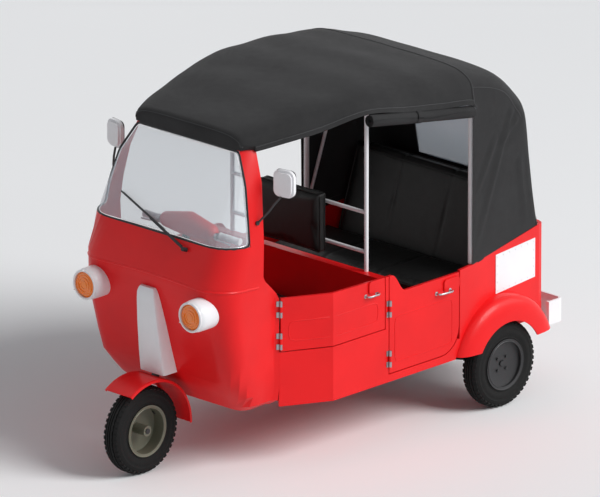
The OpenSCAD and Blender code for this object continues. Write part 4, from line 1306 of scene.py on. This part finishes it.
def sharp_loops(node, degrees=50, shortest=0.007):
    """Closed lines of a packed solid's sharp edges, longest first."""
    bm = merged(node)
    limit = math.radians(degrees)
    links = {}
    for e in bm.edges:
        if len(e.link_faces) == 2 and e.calc_face_angle(0) > limit and e.calc_length() > shortest:
            a, b = e.verts
            links.setdefault(a.index, set()).add(b.index)
            links.setdefault(b.index, set()).add(a.index)
    bm.verts.ensure_lookup_table()
    places = {i: bm.verts[i].co.copy() for i in links}
    bm.free()
    loops, seen = [], set()
    for start in links:
        if start in seen:
            continue
        line, here = [start], start
        seen.add(start)
        while True:
            ahead = [i for i in links[here] if i not in seen]
            if not ahead:
                break
            here = ahead[0]
            seen.add(here)
            line.append(here)
        loops.append([places[i] for i in line])
    return sorted(loops, key=lambda q: -sum((a - b).length for a, b in zip(q, q[1:])))


def build_windscreen(size):
    loops = sharp_loops("windscreen")[:2]
    outer = min(loops, key=lambda q: sum(p.y for p in q) / len(q))
    seal = Mesh()
    line = filled(outer, 0.02)
    middle = sum(line, Vector()) / len(line)
    line = evened([p + Vector((0, -0.0015, 0)) for p in line], 1)
    seal.sweep(line, size.seal, 10, closed=True, flat=0.62, up=(0, -1, 0.15))
    seal.piece("windscreen_seal", "black_plastic", "body")
    lip = Mesh()
    lip.sweep([p + (middle - p).normalized() * 0.012 + Vector((0, -0.002, 0)) for p in line], 0.0028, 8, closed=True)
    lip.piece("windscreen_bead", "bright_trim", "body")
    # Wiper: rubber blade, spine and claws
    wiper = Mesh()
    heel, toe = from_axle(200, 98, 1216), from_axle(-307, 180, 1372)
    tree = surface("windscreen")
    blade, spine = [], []
    for k in range(25):
        p = heel.lerp(toe, 0.30 + 0.68 * k / 24)
        spot, normal, _, _ = tree.find_nearest(p)
        if normal.y > 0:
            normal = -normal
        blade.append(spot + normal * 0.0055)
        spine.append(spot + normal * (0.017 + 0.004 * math.sin(math.pi * k / 24)))
    wiper.sweep(blade, 0.0042, 6, flat=1.2)
    wiper.piece("wiper_rubber", "black_plastic", "body")
    claws = Mesh()
    claws.sweep(spine, 0.0026, 8)
    for k in (1, 6, 11, 13, 18, 23):
        claws.sweep([blade[k], spine[k]], 0.0022, 6)
    claws.piece("wiper_spine", "black_steel", "body")


def surface(*nodes):
    """A search tree over packed solids."""
    points, faces = [], []
    for node in nodes:
        mesh = frame["nodes"][node].data
        start = len(points)
        points += [v.co.copy() for v in mesh.vertices]
        faces += [[start + i for i in p.vertices] for p in mesh.polygons]
    return BVHTree.FromPolygons(points, faces)


def build_lamps(size):
    """Bezels, ridged lenses and the screws that hold them, and the tail lamps' ridges and rims."""
    bezel, ridges = Mesh(), Mesh()
    places, ways = [], []
    for sign in (-1, 1):
        lo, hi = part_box("lamp_lenses")
        x = sign * (hi.x - 0.068)
        z = (lo.z + hi.z) / 2
        face = lo.y
        ring = [Vector((x + 0.0725 * math.cos(a), face + 0.008, z + 0.0725 * math.sin(a))) for a in (2 * math.pi * k / 56 for k in range(56))]
        bezel.sweep(ring, 0.0065, 10, closed=True)
        for r in (0.020, 0.036, 0.052):
            ring = [Vector((x + r * math.cos(a), face + 0.0012, z + r * math.sin(a))) for a in (2 * math.pi * k / 40 for k in range(40))]
            ridges.sweep(ring, 0.0022, 6, closed=True)
        for a in (math.pi / 2, math.pi * 7 / 6, math.pi * 11 / 6):
            places.append(Vector((x + 0.0765 * math.cos(a), face + 0.004, z + 0.0765 * math.sin(a))))
            ways.append(Vector((0, -1, 0)))
    bezel.piece("lamp_bezels", "white_paint", "body")
    ridges.piece("lamp_ridges", "orange_lens", "body")
    heads("lamp_screws", places, ways, 0.0035, 0.004, "bright_trim", "body")
    tail, rims = Mesh(), Mesh()
    lo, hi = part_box("tail_lamps")
    z = (lo.z + hi.z) / 2
    for sign in (-1, 1):
        x = sign * (hi.x - 0.044)
        for r in (0.012, 0.024):
            ring = [Vector((x + r * math.cos(a), hi.y - 0.0005, z + r * math.sin(a))) for a in (2 * math.pi * k / 32 for k in range(32))]
            tail.sweep(ring, 0.002, 6, closed=True)
        ring = [Vector((x + 0.044 * math.cos(a), hi.y - 0.009, z + 0.044 * math.sin(a))) for a in (2 * math.pi * k / 40 for k in range(40))]
        rims.sweep(ring, 0.004, 8, closed=True)
    tail.piece("tail_lamp_ridges", "red_lens", "body")
    rims.piece("tail_lamp_rims", "bright_trim", "body")


def build_mirrors(size):
    """Glass and its rubber rim, on both mirrors."""
    glass, rim, clamp = Mesh(), Mesh(), Mesh()
    for sign in (-1, 1):
        middle = from_axle(593 * sign, 420, 1555)
        turn = Matrix.Rotation(math.radians(12 * sign), 4, "Z")
        right, over = (turn @ Vector((1, 0, 0))), Vector((0, 0, 1))
        back = turn @ Vector((0, 1, 0))
        outline = rounded_box(0.108, 0.128, 0.022)
        glass.plate([(-u, v) for u, v in outline], 0.0022, middle + back * 0.0198, -right, over)
        loop = [middle + back * 0.0212 + right * u + over * v for u, v in rounded_box(0.113, 0.133, 0.024)]
        rim.sweep(loop, 0.0036, 8, closed=True)
    glass.piece("mirror_panes", "mirror_glass", "body")
    rim.piece("mirror_rims", "black_plastic", "body")


# ---- body trim ----

BELT_CENTRE_Y = -0.72


def on_surface(tree, start, way, lift=0.0):
    """Where a line from start meets the packed solids, and the way out of them there."""
    way = Vector(way).normalized()
    spot, normal, _, _ = tree.ray_cast(Vector(start), way)
    if spot is None:
        raise RuntimeError(f"no solid is met from {tuple(start)}")
    if normal.dot(way) > 0:
        normal = -normal
    return spot + normal * lift, normal


def build_body_trim(size):
    """Rivets on the quarter plates and on the rear wall."""
    places, ways = [], []
    tree = surface("quarter_plates")
    lo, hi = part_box("quarter_plates")
    for sign in (-1, 1):
        y0, y1 = lo.y + 0.014, hi.y - 0.014
        for k in range(7):
            y = y0 + (y1 - y0) * k / 6
            for z in (lo.z + 0.014, hi.z - 0.014):
                p, n = on_surface(tree, (sign * 0.9, y, z), (-sign, 0, 0))
                places.append(p)
                ways.append(n)
        for z in (lo.z + 0.06, (lo.z + hi.z) / 2, hi.z - 0.06):
            for y in (y0, y1):
                p, n = on_surface(tree, (sign * 0.9, y, z), (-sign, 0, 0))
                places.append(p)
                ways.append(n)
    heads("plate_rivets", places, ways, size.rivet, 0.002, "white_paint", "body")
    tree = surface("rear_wall", "quarter_panels")
    places, ways = [], []
    lo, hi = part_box("engine_lid")
    for k in range(9):
        x = lo.x - 0.03 + (hi.x - lo.x + 0.06) * k / 8
        p, n = on_surface(tree, (x, 2.0, hi.z + 0.03), (0, -1, 0))
        places.append(p)
        ways.append(n)
    heads("rear_wall_rivets", places, ways, size.rivet, 0.0018, "red_paint", "body")


def build_belt(size):
    """A pressed bead round the front shell under the windscreen."""
    tree = surface("front_shell")
    line = []
    for k in range(61):
        a = math.radians(-78 + 156 * k / 60)
        way = Vector((-math.sin(a), math.cos(a), 0))
        z = size.belt_low + size.belt_rise * math.cos(a)
        start = Vector((0, BELT_CENTRE_Y, z)) - way * 0.9
        line.append(on_surface(tree, start, way, -size.belt * 0.45)[0])
    bead = Mesh()
    bead.sweep(line, size.belt, 8)
    bead.piece("shell_belt", "red_paint", "body")


def build_doors(size):
    """Pulls and pressed beads that ride on each door."""
    for node in ("driver_door_left", "driver_door_right", "passenger_door_left", "passenger_door_right"):
        side = 1 if node.endswith("left") else -1
        lo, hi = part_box(node)
        tree = surface(node)
        front = node.startswith("driver")
        trim = Mesh()
        z = hi.z - 0.075 if front else lo.z + 0.34
        ends = (hi.y - 0.075, hi.y - 0.165) if not front else (hi.y - 0.06, hi.y - 0.14)
        spots = [on_surface(tree, (side * 0.9, y, z), (-side, 0, 0)) for y in ends]
        (a, na), (b, nb) = spots
        grip = [a, a + na * 0.020, a.lerp(b, 0.12) + na * 0.027, a.lerp(b, 0.88) + nb * 0.027, b + nb * 0.020, b]
        trim.sweep(grip, 0.0052, 10)
        for p, n in spots:
            trim.turned([(0, 0), (0.011, 0), (0.011, 0.0016), (0.008, 0.003), (0, 0.003)], p, n, 18)
        trim.piece(node + "_pull", "bare_steel", node)
        bead = Mesh()
        line = []
        margin = 0.05
        box = [(lo.y + margin, lo.z + margin), (hi.y - margin, lo.z + margin), (hi.y - margin, z - 0.05), (lo.y + margin, z - 0.05)]
        loop = filled([Vector((0, y, zz)) for y, zz in box], 0.03)
        for p in loop:
            spot, n = on_surface(tree, (side * 0.9, p.y, p.z), (-side, 0, 0), -0.0012)
            line.append(spot)
        bead.sweep(evened(line, 1), 0.0036, 8, closed=True)
        bead.piece(node + "_bead", "red_paint", node)


def build_lid(size):
    """Louvres and a lock that ride on the engine lid."""
    lo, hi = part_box("engine_lid")
    tree = surface("engine_lid")
    places, ways, alongs = [], [], []
    for row in range(6):
        p, n = on_surface(tree, (0, 2.0, lo.z + 0.068 + row * 0.034), (0, -1, 0), 0.003)
        places.append(p)
        ways.append(n + Vector((0, 0, 0.8)))
        alongs.append(Vector((1, 0, 0)))
    bars("lid_louvres", places, ways, alongs, (0.404, 0.016, 0.0025), "red_paint", "lid")
    lock = Mesh()
    p, n = on_surface(tree, (0, 2.0, lo.z + 0.03), (0, -1, 0))
    lock.turned([(0, 0), (0.015, 0), (0.015, 0.003), (0.012, 0.005), (0.0035, 0.005), (0.0035, 0.003), (0, 0.003)], p, n, 28)
    lock.piece("lid_lock", "bright_trim", "lid")


# ---- inside and underneath ----


def build_controls(size):
    """Grip rings and bar-end caps, all on the steering."""
    rings, caps = Mesh(), Mesh()
    bar = frame["nodes"]["handlebar_grips"].data
    for sign in (-1, 1):
        points = [v.co for v in bar.vertices if v.co.x * sign > 0]
        inner = min(points, key=lambda p: abs(p.x)).x
        outer = max(points, key=lambda p: abs(p.x)).x
        near = [p for p in points if abs(p.x - inner) < 0.012]
        far = [p for p in points if abs(p.x - outer) < 0.012]
        a, b = sum(near, Vector()) / len(near), sum(far, Vector()) / len(far)
        way = (b - a).normalized()
        radius = max((p - a - way * (p - a).dot(way)).length for p in points)
        across = way.orthogonal().normalized()
        over = way.cross(across)
        for k in range(14):
            centre = a.lerp(b, 0.10 + 0.78 * k / 13)
            loop = [centre + (across * math.cos(t) + over * math.sin(t)) * radius for t in (2 * math.pi * i / 24 for i in range(24))]
            rings.sweep(loop, 0.0017, 6, closed=True)
        for share in (0.03, 0.97):
            centre = a.lerp(b, share)
            loop = [centre + (across * math.cos(t) + over * math.sin(t)) * radius for t in (2 * math.pi * i / 24 for i in range(24))]
            caps.sweep(loop, 0.0034, 8, closed=True)
    rings.piece("grip_rings", "grip_rubber", "steering")
    caps.piece("grip_collars", "grip_rubber", "steering")


def build_floor(size):
    """Ribbed rubber mats on the driver's floor and the passengers' floor."""
    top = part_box("floor_pan")[1].z
    mats = Mesh()
    places, alongs = [], []
    zones = (
        (-0.44, 0.44, from_axle(0, 700, 0).y - 0.10, from_axle(0, 645, 0).y),
        (-0.53, 0.53, from_axle(0, 1170, 0).y, from_axle(0, 1480, 0).y),
    )
    for x0, x1, y0, y1 in zones:
        middle = Vector(((x0 + x1) / 2, (y0 + y1) / 2, top + 0.0002))
        mats.plate(rounded_box(x1 - x0, y1 - y0, 0.02), 0.004, middle, (1, 0, 0), (0, 1, 0))
        n = int((x1 - x0 - 0.04) / size.mat_pitch)
        for k in range(n + 1):
            places.append(Vector((x0 + 0.02 + k * size.mat_pitch, (y0 + y1) / 2, top + 0.0048)))
            alongs.append(y1 - y0 - 0.03)
    mats.piece("floor_mats", "black_plastic", "body")
    for name, span in (("front", alongs[0]), ("rear", alongs[-1])):
        chosen = [p for p, a in zip(places, alongs) if a == span]
        bars("mat_ribs_" + name, chosen, [Vector((0, 0, 1))] * len(chosen), [Vector((0, 1, 0))] * len(chosen), (span, 0.005, 0.0024), "black_plastic", "body")


def build_underside(size):
    """Cooling fins and bolts round the engine, and bolts along the rails."""
    lo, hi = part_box("engine_block")
    places, ways, alongs = [], [], []
    n = size.fin_count
    for side in (-1, 1):
        x = hi.x if side > 0 else lo.x
        for k in range(n):
            y = lo.y + 0.08 + (hi.y - lo.y - 0.16) * k / (n - 1)
            places.append(Vector((x + side * 0.004, y, (lo.z + hi.z) / 2)))
            ways.append(Vector((side, 0, 0)))
            alongs.append(Vector((0, 0, 1)))
    bars("engine_fins_sides", places, ways, alongs, ((hi.z - lo.z) * 0.72, 0.006, 0.012), "engine_alloy", "body")
    places, ways, alongs = [], [], []
    for k in range(n):
        x = lo.x + 0.05 + (hi.x - lo.x - 0.10) * k / (n - 1)
        places.append(Vector((x, hi.y + 0.003, (lo.z + hi.z) / 2)))
        ways.append(Vector((0, 1, 0)))
        alongs.append(Vector((0, 0, 1)))
    bars("engine_fins_rear", places, ways, alongs, ((hi.z - lo.z) * 0.6, 0.006, 0.010), "engine_alloy", "body")
    places, ways = [], []
    for x in (lo.x + 0.03, hi.x - 0.03):
        for y in np.linspace(lo.y + 0.04, hi.y - 0.04, 6):
            places.append(Vector((x, y, lo.z)))
            ways.append(Vector((0, 0, -1)))
    heads("sump_bolts", places, ways, 0.007, 0.006, "bare_steel", "body", 6)
    places, ways = [], []
    for sign in (-1, 1):
        for y in np.linspace(from_axle(0, 560, 0).y, from_axle(0, 2300, 0).y, 10):
            places.append(Vector((sign * 0.252, y, 0.303)))
            ways.append(Vector((0, 0, -1)))
    heads("rail_bolts", places, ways, 0.008, 0.006, "bare_steel", "body", 6)


# ---- stage ----


def soft_light(name, place, target, size, power, rgb=(1, 1, 1)):
    data = bpy.data.lights.new(name, "AREA")
    data.energy, data.size, data.color = power, size, rgb
    lamp = bpy.data.objects.new(name, data)
    bpy.context.scene.collection.objects.link(lamp)
    lamp.location = place
    lamp.rotation_euler = (Vector(target) - Vector(place)).to_track_quat("-Z", "Y").to_euler()
    return lamp


def build_camera(stage):
    azimuth, elevation = math.radians(stage.azimuth), math.radians(stage.elevation)
    back = Vector((
        math.sin(azimuth) * math.cos(elevation),
        -math.cos(azimuth) * math.cos(elevation),
        math.sin(elevation),
    ))
    data = bpy.data.cameras.new("camera")
    data.sensor_width, data.lens = 36.0, stage.lens
    distance = stage.view_width * stage.lens / 36.0
    data.clip_start, data.clip_end = distance * 0.2, distance * 2
    camera = bpy.data.objects.new("camera", data)
    bpy.context.scene.collection.objects.link(camera)
    target = Vector((0, -0.0095, 0.906))
    camera.location = target + back * distance
    camera.rotation_euler = back.to_track_quat("Z", "Y").to_euler()
    bpy.context.scene.camera = camera
    return target


def build_world(stage):
    world = bpy.data.worlds.new("studio")
    bpy.context.scene.world = world
    world.use_nodes = True
    tree = world.node_tree
    tree.nodes.clear()
    rays = add_node(tree, "ShaderNodeLightPath")
    seen = add_node(
        tree, "ShaderNodeMath", {0: rays.outputs["Is Camera Ray"], 1: rays.outputs["Is Glossy Ray"]}, operation="ADD"
    )
    seen = add_node(
        tree, "ShaderNodeMath", {0: seen.outputs[0], 1: rays.outputs["Is Transmission Ray"]}, operation="ADD", use_clamp=True
    )
    soft = add_node(tree, "ShaderNodeBackground", {"Color": (0.94, 0.96, 1.0, 1), "Strength": stage.ambient})
    white = add_node(tree, "ShaderNodeBackground", {"Color": (1, 1, 1, 1), "Strength": 1.0})
    mix = add_node(tree, "ShaderNodeMixShader", {0: seen.outputs[0], 1: soft.outputs[0], 2: white.outputs[0]})
    add_node(tree, "ShaderNodeOutputWorld", {"Surface": mix.outputs[0]})


def build_stage(stage):
    scene = bpy.context.scene
    scene.view_settings.view_transform = "Standard"
    build_world(stage)
    floor_look = Finish("floor", (0.96, 0.965, 0.97, 1), 0.85)
    floor_look.set("Specular IOR Level", 0.1)
    floor_look.tint(floor_look.noise(0.8, 3), (0.95, 0.955, 0.96, 1), (0.97, 0.975, 0.98, 1))
    mesh = bpy.data.meshes.new("floor")
    half = 14.0
    mesh.from_pydata([(-half, -half, 0), (half, -half, 0), (half, half, 0), (-half, half, 0)], [], [(0, 1, 2, 3)])
    mesh.materials.append(floor_look.material)
    floor = bpy.data.objects.new("floor", mesh)
    scene.collection.objects.link(floor)
    middle = (0, 0, 0.9)
    sun = bpy.data.lights.new("sun", "SUN")
    sun.energy, sun.angle = stage.sun, math.radians(stage.sun_spread)
    key = bpy.data.objects.new("sun", sun)
    scene.collection.objects.link(key)
    key.rotation_euler = Vector((0.74, 0.28, 0.61)).to_track_quat("Z", "Y").to_euler()
    soft_light("fill", (-2.5, -6.0, 3.4), middle, 3.2, 5)
    soft_light("rim", (3.5, 5.0, 3.0), middle, 2.5, 40)


# ---- add-on ----


class Builder:
    """What every operator of the panel shares."""

    bl_options = {"REGISTER", "UNDO"}

    def execute(self, context):
        self.build(context.scene)
        return {"FINISHED"}


class RICKSHAW_OT_camera(Builder, bpy.types.Operator):
    """Place the camera as in the photograph"""

    bl_idname = "rickshaw.camera"
    bl_label = "Camera"

    def build(self, scene):
        build_camera(scene.rickshaw_stage)


class RICKSHAW_OT_finishes(Builder, bpy.types.Operator):
    """Make the finishes and put them on the packed solids"""

    bl_idname = "rickshaw.finishes"
    bl_label = "Finishes"

    def build(self, scene):
        make_materials(scene.rickshaw_finish)
        dress_nodes()
        GROWERS.update(make_growers())


class RICKSHAW_OT_skins(Builder, bpy.types.Operator):
    """Show the curved panels with smooth faces and their creases"""

    bl_idname = "rickshaw.skins"
    bl_label = "Smooth panels"

    def build(self, scene):
        smooth_solids(CURVED)


class RICKSHAW_OT_hood(Builder, bpy.types.Operator):
    """Build the soft hood with its hems, seams and window binding"""

    bl_idname = "rickshaw.hood"
    bl_label = "Soft hood"

    def build(self, scene):
        build_hood(scene.rickshaw_hood)


class RICKSHAW_OT_curtains(Builder, bpy.types.Operator):
    """Build the rolled side curtains and their straps"""

    bl_idname = "rickshaw.curtains"
    bl_label = "Rolled curtains"

    def build(self, scene):
        build_curtains(scene.rickshaw_hood)


class RICKSHAW_OT_seats(Builder, bpy.types.Operator):
    """Blow up the seat pads and sew their channels and piping"""

    bl_idname = "rickshaw.seats"
    bl_label = "Seats"

    def build(self, scene):
        build_seats(scene.rickshaw_seats)


class RICKSHAW_OT_wheels(Builder, bpy.types.Operator):
    """Build the tyres with their tread, and the rims' beads and valves"""

    bl_idname = "rickshaw.wheels"
    bl_label = "Wheels"

    def build(self, scene):
        build_wheels(scene.rickshaw_wheels)


class RICKSHAW_OT_windscreen(Builder, bpy.types.Operator):
    """Build the windscreen's seal and bead, and the wiper's rubber"""

    bl_idname = "rickshaw.windscreen"
    bl_label = "Windscreen"

    def build(self, scene):
        build_windscreen(scene.rickshaw_trim)


class RICKSHAW_OT_lamps(Builder, bpy.types.Operator):
    """Build the lamps' bezels, ridges and screws"""

    bl_idname = "rickshaw.lamps"
    bl_label = "Lamps"

    def build(self, scene):
        build_lamps(scene.rickshaw_trim)


class RICKSHAW_OT_mirrors(Builder, bpy.types.Operator):
    """Build the mirrors' panes and rims"""

    bl_idname = "rickshaw.mirrors"
    bl_label = "Mirrors"

    def build(self, scene):
        build_mirrors(scene.rickshaw_trim)


class RICKSHAW_OT_body_trim(Builder, bpy.types.Operator):
    """Build the rivets of the plates and the rear wall"""

    bl_idname = "rickshaw.body_trim"
    bl_label = "Body trim"

    def build(self, scene):
        build_body_trim(scene.rickshaw_trim)
        build_belt(scene.rickshaw_trim)


class RICKSHAW_OT_doors(Builder, bpy.types.Operator):
    """Build the doors' pulls and pressed beads"""

    bl_idname = "rickshaw.doors"
    bl_label = "Doors"

    def build(self, scene):
        build_doors(scene.rickshaw_trim)


class RICKSHAW_OT_lid(Builder, bpy.types.Operator):
    """Build the engine lid's louvres and lock"""

    bl_idname = "rickshaw.lid"
    bl_label = "Engine lid"

    def build(self, scene):
        build_lid(scene.rickshaw_trim)


class RICKSHAW_OT_controls(Builder, bpy.types.Operator):
    """Build the rings and collars of the handlebar's grips"""

    bl_idname = "rickshaw.controls"
    bl_label = "Controls"

    def build(self, scene):
        build_controls(scene.rickshaw_trim)


class RICKSHAW_OT_floor_mats(Builder, bpy.types.Operator):
    """Build the ribbed mats on the floor"""

    bl_idname = "rickshaw.floor_mats"
    bl_label = "Floor mats"

    def build(self, scene):
        build_floor(scene.rickshaw_trim)


class RICKSHAW_OT_underside(Builder, bpy.types.Operator):
    """Build the engine's fins and the bolts underneath"""

    bl_idname = "rickshaw.underside"
    bl_label = "Underside"

    def build(self, scene):
        build_underside(scene.rickshaw_trim)


class RICKSHAW_OT_stage(Builder, bpy.types.Operator):
    """Build the pale floor, the white background and the soft lights"""

    bl_idname = "rickshaw.stage"
    bl_label = "Stage"

    def build(self, scene):
        build_stage(scene.rickshaw_stage)


OPERATORS = (
    RICKSHAW_OT_camera,
    RICKSHAW_OT_finishes,
    RICKSHAW_OT_skins,
    RICKSHAW_OT_hood,
    RICKSHAW_OT_curtains,
    RICKSHAW_OT_seats,
    RICKSHAW_OT_wheels,
    RICKSHAW_OT_windscreen,
    RICKSHAW_OT_lamps,
    RICKSHAW_OT_mirrors,
    RICKSHAW_OT_body_trim,
    RICKSHAW_OT_doors,
    RICKSHAW_OT_lid,
    RICKSHAW_OT_controls,
    RICKSHAW_OT_floor_mats,
    RICKSHAW_OT_underside,
    RICKSHAW_OT_stage,
)

SETTINGS = {
    "rickshaw_finish": FinishSettings,
    "rickshaw_hood": HoodSettings,
    "rickshaw_seats": SeatSettings,
    "rickshaw_wheels": WheelSettings,
    "rickshaw_trim": TrimSettings,
    "rickshaw_stage": StageSettings,
}


class RICKSHAW_PT_panel(bpy.types.Panel):
    """Lists the rickshaw's pieces and their settings"""

    bl_idname = "RICKSHAW_PT_panel"
    bl_label = "Rickshaw"
    bl_space_type = "VIEW_3D"
    bl_region_type = "UI"
    bl_category = "Rickshaw"

    def draw(self, context):
        for operator in OPERATORS:
            self.layout.operator(operator.bl_idname)
        for name, group in SETTINGS.items():
            box = self.layout.box()
            box.label(text=group.__doc__)
            for key in group.__annotations__:
                box.prop(getattr(context.scene, name), key)


def register():
    for kind in (*SETTINGS.values(), *OPERATORS, RICKSHAW_PT_panel):
        bpy.utils.register_class(kind)
    for name, group in SETTINGS.items():
        setattr(bpy.types.Scene, name, PointerProperty(type=group))


def unregister():
    for name in SETTINGS:
        delattr(bpy.types.Scene, name)
    for kind in reversed((*SETTINGS.values(), *OPERATORS, RICKSHAW_PT_panel)):
        bpy.utils.unregister_class(kind)


def main():
    register()
    for operator in OPERATORS:
        group, name = operator.bl_idname.split(".")
        getattr(getattr(bpy.ops, group), name)()


if __name__ == "__main__":
    main()
